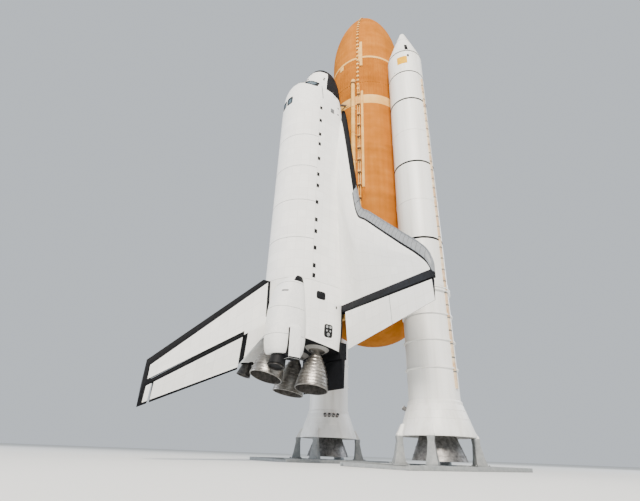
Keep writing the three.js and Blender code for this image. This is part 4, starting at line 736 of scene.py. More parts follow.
    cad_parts[f"booster_joint_{hand}"].material_slots[0].material = rubber_pad

    # Hold-down stand: the rim of the platform's opening, four haunches and their cast posts
    parts = []
    for x in (-1, 1):
        parts.append(block(off_axis(x * 108, -252, 0), off_axis(x * 120, 252, 10)))
        parts.append(block(off_axis(-108, x * 240, 0), off_axis(108, x * 252, 10)))
        for y in (-1, 1):
            parts.append(block(off_axis(x * 36, y * 78.5, 0), off_axis(x * 109, y * 122.5, 10)))
    top = bottom - 0.12
    for bearing in POST_BEARINGS:
        way, across = np.array(tray_frame(bearing))
        ring = [[off_axis(0, 0, h) + ((110 + shift + a * half) * way + b * half * across) * INCH
                 for a, b in ((-1, -1), (1, -1), (1, 1), (-1, 1))]
                for h, half, shift in ((9.5, 15, 6), (16, 15, 4), (30, 12, 2.6), (top - 14, 8, 0),
                                       (top - 4, 9, 0), (top, 9, 0))]
        parts.append(solid(ring))
        for a in (-1, 1):
            for b in (-1, 1):
                foot = off_axis(0, 0, 10) + ((116 + a * 19) * way + b * 12 * across) * INCH
                parts.append(spun([(0, 0), (2.4, 0), (2.4, 3), (1.4, 3), (1.4, 4.5), (0, 4.5)], foot,
                                  (0, 0, 1), 8))
    piece(f"holddown_stand_{hand}_casting", parts, [platform_steel], "stack",
          [f"holddown_stand_{hand}"], bevel=0.007)


# Orbiter's nose cap. One moulding of reinforced carbon, dark grey and slightly glossy, bolted on
# ahead of the fuselage. The whole hull is lofted through the same table of sections.
def on_orbiter(station, y, height):
    """A point given in orbiter inches: station aft, y to starboard, height above the keel's datum."""
    return np.array([y * INCH, (63.5 - height + DEPTH_SHIFT) * INCH, (FLOOR_STATION - 741 - station) * INCH])


def orbiter_solid(rows, zones=None, mat=0):
    """A closed skin whose rings are points in orbiter inches."""
    return solid([[on_orbiter(*p) for p in ring] for ring in rows], zones, mat)


def tiled(name, gap, dark, pale, size, roughness, relief=0.4, gloss=0.4):
    """Square tiles or blanket panels in rows, each a little different, with narrow gaps."""
    made, tree = bare_material(name)
    place = put(tree, "TexCoord")
    grid = put(tree, "TexBrick", {"Vector": place.outputs["UV"], "Scale": 1.0, "Mortar Size": size * 0.02,
                                  "Mortar Smooth": 0.2, "Brick Width": size, "Row Height": size, "Bias": 0.0,
                                  "Color1": (0.35, 0.35, 0.35, 1), "Color2": (0.72, 0.72, 0.72, 1),
                                  "Mortar": (0.0, 0.0, 0.0, 1)}, offset=0.0, squash=1.0)
    grime = put(tree, "TexNoise",
                {"Vector": place.outputs["Object"], "Scale": 0.9, "Detail": 7.0, "Roughness": 0.65})
    blend = put(tree, "Mix", {"Factor": 0.45, "A": grid.outputs["Color"], "B": grime.outputs["Fac"]})
    ramp = put(tree, "ValToRGB", {"Fac": blend.outputs[0]}, ((0.2, gap), (0.38, dark), (0.66, pale)))
    bump = put(tree, "Bump", {"Height": grid.outputs["Fac"], "Strength": relief, "Distance": 0.003},
               invert=True)
    shade = put(tree, "BsdfPrincipled", {"Base Color": ramp.outputs["Color"], "Roughness": roughness,
                                         "Normal": bump.outputs["Normal"], "Specular IOR Level": gloss})
    put(tree, "OutputMaterial", {"Surface": shade.outputs["BSDF"]})
    return made


# Coated silica tiles are satin and uneven in tone, the white ones bright and the black ones nearly
# without sheen; felt blankets are softer, in 30-inch panels; carbon is dark grey and faintly glossy.
# A real tile gap is under 1 mm here. It is drawn at 1.5 mm, and a blanket's seam at 8 mm, to show.
TILE = 6 * INCH
white_tile = tiled("white_silica_tile", "#dadbda", "#eaebea", "#f5f5f3", TILE, 0.6, 0.2)
black_tile = tiled("black_silica_tile", "#050506", "#0c0d10", "#17181c", TILE, 0.6, 0.3, 0.14)
felt_blanket = tiled("white_felt_blanket", "#e2e2df", "#ececea", "#f6f6f4", 30 * INCH, 0.85, 0.12)
carbon = plain_finish("reinforced_carbon", "#26282b", "#3c3f43", 0.45, gloss=0.3)
edge_carbon = plain_finish("reinforced_carbon_edge", "#7e8287", "#8e9297", 0.5, gloss=0.35)

HULL_ROWS = [
    # station, half width, height of widest, top, top power, belly, belly power
    (239.5, 9, 341, 350, 2, 332, 2),
    (244, 20, 340, 361, 2, 321, 2.1),
    (253, 32, 339, 375, 2, 310.5, 2.3),
    (266, 43, 337, 387, 2, 303, 2.5),
    (290, 56, 335, 401, 2, 296.5, 2.8),
    (330, 71, 332, 417, 2, 291.5, 3),
    (376, 83, 331, 433, 2.05, 288, 3.2),
    (396, 87, 334, 456, 2.05, 287, 3.3),
    (420, 91, 340, 479, 2.1, 285.5, 3.5),
    (445, 95, 348, 492, 2.15, 284, 3.7),
    (480, 99, 362, 500, 2.15, 282, 4),
    (530, 103, 384, 503, 2.1, 279, 4.8),
    (582, 105, 400, 503, 2, 276, 5.6),
    (700, 105, 400, 503, 2, 271, 6),
    (900, 105, 400, 503, 2, 268, 6),
    (1307, 105, 400, 503, 2, 268, 6),
    (1420, 105, 400, 501, 2.1, 268, 6),
    (1512, 101, 398, 494, 2.2, 269, 5),
]


def hull_half(station, grow=0.0, upper=26, lower=22):
    """The starboard half of a hull section from its top round to its keel, as (y, height)."""
    half, wide, top, top_power, belly, belly_power = smooth(HULL_ROWS, station)
    points = []
    for t in np.linspace(0, math.pi / 2, upper + 1):
        points.append(((half + grow) * math.sin(t) ** (2 / top_power),
                       wide + (top + grow - wide) * max(math.cos(t), 0) ** (2 / top_power)))
    for t in np.linspace(0, math.pi / 2, lower + 1)[1:]:
        points.append(((half + grow) * max(math.cos(t), 0) ** (2 / belly_power),
                       wide - (wide - belly + grow) * math.sin(t) ** (2 / belly_power)))
    return points


# Station and height of the line between the black belly tiles and the white ones
CHINE = [(239, 520), (292, 520), (294, 376), (303, 350), (340, 357), (381, 367), (446, 378), (449, 349),
         (457, 340), (468, 314), (500, 300), (582, 296), (700, 292), (1512, 292)]


def chine(station):
    return float(np.interp(station, *zip(*CHINE)))


UPPER, LOWER = 30, 26


def hull_section(station, grow=0.0):
    """Half a section with its points spaced evenly, one of them on the chine line."""
    dense = np.array(hull_half(station, grow, 90, 90))
    run = np.concatenate([[0], np.cumsum(np.linalg.norm(np.diff(dense, axis=0), axis=1))])
    split = min(max(float(np.interp(-chine(station), -dense[:, 1], run)), 0.6), run[-1] - 0.6)
    marks = np.concatenate([np.linspace(0, split, UPPER + 1), np.linspace(split, run[-1], LOWER + 1)[1:]])
    return list(zip(np.interp(marks, run, dense[:, 0]), np.interp(marks, run, dense[:, 1])))


def hull_loft(start, end, grow=0.0, step=6.0, slant=0.0, mat=None):
    """The hull between two stations, white above the chine and black below it, or all one finish."""
    stations = np.linspace(start, end, max(2, int((end - start) / step) + 1))
    stations = np.union1d(stations, [s for s, _ in CHINE if start + 0.5 < s < end - 0.5])
    rows = []
    for s in stations:
        half = hull_section(s, grow)
        ring = half + [(-y, z) for y, z in reversed(half[1:-1])]
        lean = slant * max(0.0, (s - 1420) / (end - 1420)) if slant else 0.0
        rows.append([on_orbiter(s - lean * (z - 268), y, z) for y, z in ring])

    def zones(i, j):
        if mat is not None:
            return mat
        return 1 if 0 <= i < len(stations) - 1 and min(j, 2 * (UPPER + LOWER) - 1 - j) >= UPPER else 0

    return solid(rows, zones=zones)


piece("nose_cap_moulding", [hull_loft(239.5, 261.7, step=1.6, mat=0)], [carbon], "stack",
      ["nose_cap"])


# Forward fuselage. Aluminium skin and stringers round the pressure cabin, covered with white and
# black silica tiles. The window panes are set deep in black-tiled frames.
WINDOW_ROWS = [
    ((392, 4), (391, 28), (414, 31), (421, 4)),
    ((393, 33), (400, 52), (425, 50), (417, 35)),
    ((407, 60), (419, 79), (446, 82), (434, 59)),
    ((518, 7), (518, 29), (546, 29), (546, 7)),
]
WALL = 9
CABIN = (384, 572)


def hull_top(station, y):
    half, wide, top, power = smooth(HULL_ROWS, station)[:4]
    return wide + (top - wide) * (1 - min(abs(y) / half, 1) ** power) ** (1 / power)


def window_plug(corners, side, inward, outward):
    points = [on_orbiter(s, side * y, hull_top(s, y)) for s, y in corners]
    normal = np.cross(points[2] - points[0], points[3] - points[1])
    normal *= math.copysign(INCH / np.linalg.norm(normal), -normal[1])
    return solid([[p - normal * inward for p in points], [p + normal * outward for p in points]], mat=2)


HATCH_STATION, HATCH_HEIGHT, HATCH_RADIUS = 503, 352, 20


def hatch_cone(grow):
    ends = [(0, 0), (HATCH_RADIUS + grow - 0.33 * 41, 0), (HATCH_RADIUS + grow + 0.33 * 19, 60), (0, 60)]
    return spun(ends, on_orbiter(HATCH_STATION, -60, HATCH_HEIGHT), (-1, 0, 0), 48, mat=2)


def bent(turn, power):
    """The cosine and sine of an angle on a circle that is bent towards a square."""
    return [math.copysign(abs(v) ** (2 / power), v) for v in (math.cos(turn), math.sin(turn))]


def window_frame(corners, side):
    """A raised black-tiled border with round corners, lying on the hull round a window."""
    loops = []
    for scale, power, lift in ((0.94, 7, -1), (0.94, 7, 0.5), (1.34, 5, 0.5), (1.42, 5, -1)):
        loop = []
        for t in round_turn(40):
            a, b = [(v * scale + 1) / 2 for v in bent(t, power)]
            c = np.array(corners, float)
            s, y = (1 - a) * (1 - b) * c[0] + a * (1 - b) * c[1] + a * b * c[2] + (1 - a) * b * c[3]
            loop.append(on_orbiter(s, side * y, hull_top(s, y) + lift))
        loops.append(loop)
    return shell(loops + loops[:1], wrap=True, mat=2)


def on_hull(station, height, side=1, proud=0.0):
    """A point on the side of the hull, a little proud of it."""
    half = hull_half(station, proud, 60, 60)
    y = float(np.interp(-height, [-z for _, z in half], [v for v, _ in half]))
    return on_orbiter(station, side * y, height)


def along_orbiter(station, y, height):
    """A direction given in the orbiter's own axes."""
    return np.array([y, -height, -station], float)


def hull_strip(points, width, side=1, proud=0.25, mat=1, steps=6):
    """A thin band on the hull's side along points of (station, height)."""
    points = np.array(points, float)
    path = np.concatenate([np.linspace(a, b, steps, endpoint=False)
                           for a, b in zip(points, points[1:])] + [points[-1:]])
    ahead = np.gradient(path, axis=0)
    ahead /= np.linalg.norm(ahead, axis=1)[:, None]
    away = np.stack([-ahead[:, 1], ahead[:, 0]], 1) * width / 2
    loops = [(path - away, -0.4), (path - away * 0.96, proud), (path + away * 0.96, proud),
             (path + away, -0.4)]
    rows = [[on_hull(s, h, side, lift) for (s, h), lift in zip(corner, [l[1] for l in loops])]
            for corner in zip(*[l[0] for l in loops])]
    return solid(rows, mat=mat)


def thruster_port(point, radius):
    """A round cup with a thin rim, square to the hull; point(a, b) gives the skin near the port."""
    centre = point(0, 0)
    way = np.cross(point(1, 0) - centre, point(0, 1) - centre)
    way *= math.copysign(1, way.dot(centre - on_orbiter(330, 0, 340)))
    return spun([(0, 0.15), (radius * 0.85, 0.15), (radius * 0.92, 0.55), (radius * 1.1, 0.6),
                 (radius * 1.2, -1), (0, -1)],
                centre, way, 24, zones=lambda i, j: 2 if i < 1 else 1)


# Window seals are matt black, and the coated panes are smooth and reflect the room.
seal_black = plain_finish("black_window_seal", "#0c0d0f", "#18191c", 0.6, gloss=0.2)
vent_grey = plain_finish("grey_vent_seal", "#55585b", "#77797b", 0.7)
# The panes' grey-blue base colour is a painted reflection.
pane_painted_reflection = plain_finish("silica_pane_painted_reflection", "#3c4a54", "#566670", 0.08, scale=1.2, rough_bump=0.0)
for node in ("windshield_glass", "overhead_glass"):
    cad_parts[node].material_slots[0].material = pane_painted_reflection
HULL_FINISHES = [white_tile, black_tile, seal_black]
cuts = [("DIFFERENCE", [hull_loft(*CABIN, grow=-WALL, mat=2)]), ("DIFFERENCE", [hatch_cone(0.05)])]
cuts += [("DIFFERENCE", [window_plug(corners, side, 14, 12)]) for corners in WINDOW_ROWS for side in (-1, 1)]
piece("forward_fuselage_skin", [hull_loft(262, 580.7, step=5)], HULL_FINISHES, "stack",
      ["forward_fuselage"], cuts=cuts)
piece("window_frames", [window_frame(corners, side) for corners in WINDOW_ROWS for side in (-1, 1)],
      HULL_FINISHES, "stack")
marks = [hull_strip([(436, 398), (519, 398)], 2.6, side, mat=3) for side in (-1, 1)]
marks += [hull_strip([(s, h + 3.5), (s, h - 3.5)], 7, side, mat=2) for side in (-1, 1)
          for s, h in ((522, 320), (560, 322))]
marks += [hull_strip([(470, 331), (470, 346)], 3, 1, mat=3),
          hull_strip([(548, 352), (572, 352)], 18, 1, mat=3)]
TOP_PORTS = [(s, y) for s in (300, 344) for y in (-13, 0, 13)]
SIDE_PORTS = [(356, 374), (370, 378), (330, 328), (344, 329)]
marks += [thruster_port(lambda a, b, s=s, y=y: on_orbiter(s + a, y + b, hull_top(s + a, y + b)), 4.6)
          for s, y in TOP_PORTS]
marks += [thruster_port(lambda a, b, s=s, h=h, side=side: on_hull(s + a, h + b, side), 4.2)
          for s, h in SIDE_PORTS for side in (-1, 1)]
piece("nose_thrusters_and_vents", marks, [white_tile, black_tile, seal_black, vent_grey], "stack")
panes = []
for corners in WINDOW_ROWS:
    for side in (-1, 1):
        c = np.array(corners, float)
        grid = [[(1 - a) * ((1 - b) * c[0] + b * c[1]) + a * ((1 - b) * c[3] + b * c[2])
                 for b in np.linspace(0.01, 0.99, 9)]
                for a in np.linspace(0.01, 0.99, 9)]
        faces = [[on_orbiter(s, side * y, hull_top(s, y) - 1.0) for s, y in row] for row in grid]
        panes.append(shell(faces, flip=side < 0))
piece("outer_window_panes", panes, [pane_painted_reflection], "stack")
piece("crew_hatch_door", [hatch_cone(0.0)], HULL_FINISHES, "crew_hatch", ["crew_hatch"],
      cuts=[("INTERSECT", [hull_loft(470, 540)]), ("DIFFERENCE", [hull_loft(460, 550, grow=-WALL)])])
rings = [[on_hull(HATCH_STATION + r * math.cos(t), HATCH_HEIGHT + r * math.sin(t), -1, lift)
          for t in round_turn(64)]
         for r, lift in ((18.7, -0.4), (18.7, 0.15), (19.5, 0.15), (19.5, -0.4))]
piece("crew_hatch_seal", [shell(rings + rings[:1], wrap=True, mat=2)], HULL_FINISHES, "crew_hatch")
piece("crew_hatch_window",
      [thruster_port(lambda a, b: on_hull(HATCH_STATION + a, HATCH_HEIGHT + b, -1), 5.5)],
      [seal_black, black_tile, pane_painted_reflection], "crew_hatch")


# Mid fuselage. The cargo bay's trough: aluminium frames and skin, black tiles below and white
# blankets above, lined with white cloth between its frames.
SILL = 413.7
LINER_RADIUS = 91.5
BAY_RADIUS, BAY_HEIGHT = 93, 400
rows = []
for s in np.linspace(580, 1306, 110):
    half = [p for p in hull_half(s) if p[1] < SILL]
    half = [(105, SILL)] + half
    outer = half + [(-y, z) for y, z in reversed(half[:-1])]
    reach = math.asin((SILL - BAY_HEIGHT) / BAY_RADIUS)
    inner = [(-BAY_RADIUS * math.cos(t), BAY_HEIGHT - BAY_RADIUS * math.sin(t))
             for t in np.linspace(-reach, math.pi + reach, 40)]
    rows.append([(s, y, z) for y, z in outer + inner])
rows = np.array(rows)
outer_count = len(outer)


def trough_finish(i, j):
    if not 0 <= i < len(rows) - 1:
        return 0
    if j >= outer_count - 1:
        return 3
    return 1 if rows[i, j:j + 2, 2].mean() < chine(rows[i, j, 0]) else 0


def hull_bottom(station, y):
    half, wide, _, _, belly, power = smooth(HULL_ROWS, station)
    return wide - (wide - belly) * (1 - min(abs(y) / half, 1) ** power) ** (1 / power)


def belly_outline(corners, width=1.4, mat=2):
    """A door's edge seals on the belly, along corners of (station, y)."""
    parts = []
    for (s0, y0), (s1, y1) in zip(corners, corners[1:] + corners[:1]):
        along = np.array([s1 - s0, y1 - y0]) / math.hypot(s1 - s0, y1 - y0)
        aft, out = np.array([-along[1], along[0]]) * width / 2
        rows = []
        for t in np.linspace(0, 1, 9):
            s, y = s0 + (s1 - s0) * t, y0 + (y1 - y0) * t
            low = hull_bottom(s, y)
            rows.append([(s - aft, y - out, low + 0.3), (s - aft, y - out, low - 0.2),
                         (s + aft, y + out, low - 0.2), (s + aft, y + out, low + 0.3)])
        parts.append(orbiter_solid(rows, mat=mat))
    return parts


# Woven glass cloth: plain white and matt, without gloss.
bay_liner = plain_finish("white_glass_cloth", "#e2e2df", "#eeeeeb", 0.9)
parts = [orbiter_solid(rows, trough_finish)]
for s in np.linspace(624, 1262, 12):
    arc = [on_orbiter(s, -LINER_RADIUS * math.cos(t), BAY_HEIGHT - LINER_RADIUS * math.sin(t))
           for t in np.linspace(0.02, math.pi - 0.02, 33)]
    parts.append(pipe(arc, 2.2, 8, 3))
# Edge seals of woven silica: matt grey lines on the black tiles.
door_seal = plain_finish("grey_door_edge_seal", "#4c4e50", "#66686a", 0.8)
seals = belly_outline([(392, -22), (392, 22), (505, 24), (505, -24)])
seals += belly_outline([(392, 0.1), (505, 0.1), (505, -0.1), (392, -0.1)], 0.6)
for side in (-1, 1):
    seals += belly_outline([(1296, side * 42), (1296, side * 94), (1306, side * 94), (1306, side * 42)], 0.8)
piece("nose_gear_door_seals", seals, [felt_blanket, black_tile, door_seal], "stack")
piece("mid_fuselage_trough", parts, [felt_blanket, black_tile, seal_black, bay_liner], "stack",
      ["mid_fuselage"])


# Bay fittings. The airlock's round hatch on the forward bulkhead, sill longerons with payload
# latches along them, and the keel's row of latches, all machined aluminium.
# Machined aluminium: pale, half bright metal with fine tool marks.
latch_metal = plain_finish("machined_aluminium_latch", "#8e9193", "#b9bcbe", 0.4, 0.8)
parts = [spun([(0, 0.1), (26, 0.1), (26, 2.6), (23, 3.4), (22, 1.6), (4, 2.2), (3, 4.5), (0, 4.5)],
              on_orbiter(581.2, 0, 386), along_orbiter(1, 0, 0), 48)]
for side in (-1, 1):
    parts.append(block(on_orbiter(584, side * 87.5, 406), on_orbiter(1302, side * 92.5, 409.5), 0))
    for s in np.arange(640, 1290, 59):
        parts.append(block(on_orbiter(s - 5, side * 84.5, 409.4), on_orbiter(s + 5, side * 92, 412.6), 0))
        parts.append(block(on_orbiter(s - 2.4, side * 83, 405), on_orbiter(s + 2.4, side * 88, 411), 0))
for s in np.arange(655, 1290, 118):
    parts.append(block(on_orbiter(s - 7, -4, 307.5), on_orbiter(s + 7, 4, 312.5), 0))
piece("cargo_bay_fittings", parts, [latch_metal], "stack", bevel=0.004)


# Cargo bay doors. Two long graphite-epoxy shells, each in five panels, felt outside and with
# bright radiator panels inside, hinged on dark fittings along the sills.
# Silvered film over the radiators: a clear, slightly wavy mirror, beside flat grey joint strips.
radiator = plain_finish("bright_radiator_film", "#c2c6ca", "#d0d4d8", 0.2, 0.85, 3.0, 0.03)
door_joint = plain_finish("door_joint_strip", "#9a9b9b", "#b7b8b7", 0.7)
# Half width and rise of the door's outer face and of its inner one
OUTER_ARC, INNER_ARC = (105, 103), (100, 98)
door_bottom = math.acos((414 - BAY_HEIGHT) / OUTER_ARC[1])
PANEL_JOINTS = (729, 874, 1019, 1164)
HINGE_MARKS = (645, 714, 761, 830, 901, 950, 1019, 1089, 1133, 1194, 1257, 1291)
for side, hand in ((1, "starboard"), (-1, "port")):
    arc, inner = ([(wide * math.sin(t), BAY_HEIGHT + rise * math.cos(t))
                   for t in np.linspace(0.0, door_bottom, 40)]
                  for wide, rise in (OUTER_ARC, INNER_ARC))
    arc[0], inner[0] = (0.3, arc[0][1]), (0.3, inner[0][1])
    ring = arc + inner[::-1]
    rows = [[on_orbiter(s, side * y, z) for y, z in ring] for s in np.linspace(580.25, 1305.75, 60)]
    parts = [solid(rows, zones=lambda i, j: 1 if 40 <= j < 79 else 0)]
    for s in PANEL_JOINTS:
        strip = [[on_orbiter(v, side * y * r, BAY_HEIGHT + (z - BAY_HEIGHT) * r) for y, z in arc[::3]]
                 for v, r in ((s - 1.3, 1.0), (s - 1.1, 1.003), (s + 1.1, 1.003), (s + 1.3, 1.0))]
        parts.append(shell(strip, mat=2, flip=side > 0))
    for s in (610, 729, 874, 1019, 1164, 1290):
        rib = [[on_orbiter(v, side * y * r, BAY_HEIGHT + (z - BAY_HEIGHT) * r) for y, z in inner[2:-1:3]]
               for v, r in ((s - 1.6, 1.003), (s - 1.4, 0.985), (s + 1.4, 0.985), (s + 1.6, 1.003))]
        parts.append(shell(rib, mat=2, flip=side < 0))
    piece(f"bay_door_{hand}_shell", parts, [felt_blanket, radiator, door_joint], f"bay_door_{hand}",
          [f"bay_door_{hand}"])
    marks = [block(on_orbiter(s - 7, side * 104.4, 402.5), on_orbiter(s + 7, side * 105.9, 412.5))
             for s in (579,) + HINGE_MARKS]
    piece(f"door_hinges_{hand}", marks, [rubber_pad], "stack")


# Main engines. Each bell is brazed from hundreds of steel tubes and bound with hoops. The
# powerhead sits in a domed shield of the aft fuselage, and the whole engine swings on a gimbal.
GIMBALS = [
    # name, station, y, height, pitch, splay
    ("upper", 1445, 0, 443, 16, 0),
    ("starboard", 1468, 53, 342.6, 10, 3.5),
    ("port", 1468, -53, 342.6, 10, -3.5),
]
BELL = [(44.3, 10.5), (56, 16), (75, 26), (98, 35), (122, 42), (142, 45.5), (157, 47)]
BELL_START, BELL_END = BELL[0][0], BELL[-1][0]

tube_wall, tree = bare_material("brazed_steel_tube_wall")
place = put(tree, "TexCoord")
# Heat-tinted steel with a soft metal sheen. The real tubes are about 7 mm wide, 3 mm at half size;
# they are drawn at 13 mm so that they show at all.
tubes = put(tree, "TexWave", {"Vector": place.outputs["UV"], "Scale": 25.0, "Distortion": 0.0},
            wave_type="BANDS", bands_direction="X", wave_profile="SIN")
heat = put(tree, "TexNoise",
           {"Vector": place.outputs["Object"], "Scale": 2.2, "Detail": 6.0, "Roughness": 0.6})
ramp = put(tree, "ValToRGB", {"Fac": heat.outputs["Fac"]}, ((0.32, "#6e6a66"), (0.68, "#b4b1ac")))
bump = put(tree, "Bump", {"Height": tubes.outputs["Fac"], "Strength": 0.25, "Distance": 0.004})
shade = put(tree, "BsdfPrincipled", {"Base Color": ramp.outputs["Color"], "Roughness": 0.36, "Metallic": 0.85,
                                     "Normal": bump.outputs["Normal"]})
put(tree, "OutputMaterial", {"Surface": shade.outputs["BSDF"]})
# Hoops are brighter welded steel, the bell's lining is sooted, and the powerhead is dull castings.
hoop_steel = plain_finish("welded_steel_hoop", "#77746f", "#a8a49e", 0.35, 0.85)
inner_wall = plain_finish("sooted_bell_lining", "#3b3937", "#5d5a57", 0.5, 0.5)
powerhead_metal = plain_finish("powerhead_castings", "#57534e", "#8d8880", 0.45, 0.7)


def engine_way(pitch, splay):
    p, v = math.radians(pitch), math.radians(splay)
    return along_orbiter(math.cos(p) * math.cos(v), math.sin(v), math.sin(p) * math.cos(v))


for name, station, y, height, pitch, splay in GIMBALS:
    origin, way = on_orbiter(station, y, height), engine_way(pitch, splay)
    bell = [(float(smooth(BELL, a)[0]), a) for a in np.linspace(BELL_START, BELL_END, 30)]
    lining = [(r - 1.6, a) for r, a in reversed(bell[1:])]
    lining[0] = (lining[0][0], BELL_END)
    head = [(0, 1.2), (6.5, 1.2), (6.5, 10), (22, 12), (25, 14), (25, 31), (22, 33), (8, 39), (8, 42.7),
            (18, 39.6), (29.9, 31.6), (31.3, 33), (19, 41.3)]
    profile = head + bell + lining + [(5, 50), (0, 50)]
    first, last = len(head), len(head) + len(bell)
    finish = lambda i, j: 3 if i < first - 1 else 0 if i < last - 1 else 1 if i < last else 2
    parts = [spun(profile, origin, way, 96, finish)]
    for a in (64, 76, 88, 100, 111, 122, 132, 142, 150):
        r = float(smooth(BELL, a)[0])
        parts.append(spun([(r - 0.8, a - 1.2), (r + 1.3, a - 1.2), (r + 1.3, a + 1.2), (r - 0.8, a + 1.2)],
                          origin, way, 96, mat=1))
    parts.append(spun([(45.8, 153.6), (47.6, 153.4), (48.4, 154.6), (48.2, 156.4), (46.8, 157),
                       (45.6, 156.9)], origin, way, 96, mat=1))
    piece(f"main_engine_{name}_bell", parts, [tube_wall, hoop_steel, inner_wall, powerhead_metal],
          f"main_engine_{name}", [f"main_engine_{name}"])


# Aft fuselage. The box that carries the engines' thrust, with blankets on its sides, black tiles
# on its base shield and a domed shield with a round mouth for each engine.
DOME_OUTER, DOME_INNER, MOUTH = 49.4, 47.6, 30
for name, *_ in GIMBALS:
    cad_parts[f"engine_joint_{name}"].material_slots[0].material = powerhead_metal
# Quilted ceramic cloth on the domes: matt and grey from use.
dome_blanket = plain_finish("grey_dome_blanket", "#9a9996", "#aaa8a4", 0.85)


def side_cover(station, height, long, tall, side, mat=1, proud=0.5):
    """A rounded flat cover on the side of the aft fuselage."""
    grown = [bent(t, 5) for t in round_turn(32)]
    rows = []
    for lift, size in ((-1.5, 1.0), (proud - 0.15, 1.0), (proud, 0.96)):
        row = []
        for a, b in grown:
            spot = on_hull(station + a * size * long / 2, height + b * size * tall / 2, side, 0)
            row.append(spot + np.array([side * lift * INCH, 0, 0]))
        rows.append(row)
    return solid(rows, mat=mat)


cuts = []
for name, station, y, height, pitch, splay in GIMBALS:
    origin, way = on_orbiter(station, y, height), engine_way(pitch, splay)
    ball = [(DOME_INNER * math.sin(t), -DOME_INNER * math.cos(t)) for t in np.linspace(0, math.pi, 25)]
    cuts.append(("DIFFERENCE", [spun(ball, origin, way, 48, mat=3)]))
    cuts.append(("DIFFERENCE",
                 [spun([(0, 1), (90 * math.tan(math.radians(MOUTH)), 90), (0, 90)], origin, way, 48, mat=3)]))
FLAP_STATION, FLAP_HEIGHT, FLAP_RADIUS = 1532, 284, 6
cove = spun([(0, -110), (6.3, -110), (6.3, 110), (0, 110)], on_orbiter(FLAP_STATION, 0, FLAP_HEIGHT),
            (1, 0, 0), 32, mat=1)
shelf = block(on_orbiter(1480, -100, 270), on_orbiter(1529, 100, 294), 1)
hull = hull_loft(1307, 1512, slant=0.1466)
aft = piece("aft_fuselage_shell", [hull], [felt_blanket, black_tile, seal_black, dome_blanket], "stack",
            ["aft_fuselage"], cuts=cuts)
for polygon in aft.data.polygons:
    if polygon.normal.z < -0.9 and polygon.material_index == 0:
        polygon.material_index = 1
parts = []
for side in (-1, 1):
    parts.append(side_cover(1350, 377, 26, 34, side, 1))
    parts.append(side_cover(1455, 345, 52, 44, side, 0, 0.7))
    parts.append(side_cover(1455, 345, 40, 32, side, 2, 1.1))
    for dx, dz, r in ((-12, 6, 4.5), (-12, -7, 4.5), (0, 6, 3), (0, -7, 3), (11, 0, 5.5)):
        spot = on_hull(1455 + dx, 345 + dz, side, 1.0)
        parts.append(spun([(0, 0), (r, 0), (r, 0.9), (r * 0.7, 1.3), (0, 1.3)], spot,
                          along_orbiter(0, side, 0), 16, mat=3))
    parts.append(side_cover(1400, 420, 22, 22, side, 0, 0.4))
    parts.append(side_cover(1375, 315, 9, 5, side, 2, 0.3))
piece("aft_service_panels", parts, [felt_blanket, black_tile, seal_black, latch_metal], "stack")
piece("body_flap_shelf", [shelf], [felt_blanket, black_tile], "stack",
      cuts=[("DIFFERENCE", [cove])])
for name, station, y, height, pitch, splay in GIMBALS:
    origin, way = on_orbiter(station, y, height), engine_way(pitch, splay)
    span = np.linspace(math.radians(MOUTH + 1), math.radians(118), 26)
    dome = [(DOME_OUTER * math.sin(t), DOME_OUTER * math.cos(t)) for t in span]
    dome += [(DOME_INNER * math.sin(t), DOME_INNER * math.cos(t)) for t in reversed(span)]
    piece(f"engine_dome_{name}", [spun(dome + dome[:1], origin, way, 72)], [dome_blanket], "stack")


# Pods. Graphite-epoxy fairings beside the fin hold the manoeuvring engines and the aft thrusters.
# They are white-tiled, with dark tiles on their front corners, where the air meets them first.
POD_ROWS = [
    # station, y, height, half width, half height
    (1311, 82, 465, 30, 13),
    (1316, 83, 468.5, 37, 19.5),
    (1325, 84, 473, 41, 27),
    (1345, 84, 477.5, 44, 37.5),
    (1385, 84, 482, 46, 48),
    (1440, 84, 483, 47, 55),
    (1500, 84, 483, 47, 57),
    (1535, 84, 483, 44, 53),
    (1548, 84, 483, 39, 47),
]
POD_POWER = 2.6
POD_SEAMS = [
    # station, first and last turn in radians, width
    (1342, -0.6, 2.6, 0.8),
    (1420, -0.6, 2.6, 0.8),
    (1498, -0.6, 2.6, 0.8),
    (1372, 0.5, 1.0, 5),
    (1460, 2.0, 2.4, 5),
]
_, UPPER_STATION, _, UPPER_HEIGHT, upper_pitch, _ = GIMBALS[0]
UPPER_PITCH = math.radians(upper_pitch)
# Coated niobium turns nearly black and stays half dull; the small thrusters' cups are dark and matt.
pod_metal = plain_finish("columbium_pod_nozzle", "#2d2c2c", "#55524f", 0.4, 0.6)
thruster_cup = plain_finish("dark_thruster_cup", "#161617", "#2c2b2a", 0.6)


def clear_of_bell(station, y, height):
    """Moves a point outboard until it is clear of the upper engine's swing."""
    ds, dh = station - UPPER_STATION, height - UPPER_HEIGHT
    along = ds * math.cos(UPPER_PITCH) + dh * math.sin(UPPER_PITCH)
    yaw = ds * math.sin(UPPER_PITCH) - dh * math.cos(UPPER_PITCH)
    room = along ** 2 - (yaw / 0.7) ** 2
    least = 0.68 * math.sqrt(room) + 0.3 if along > 0 and room > 0 else 0
    return station, max(y, least), height


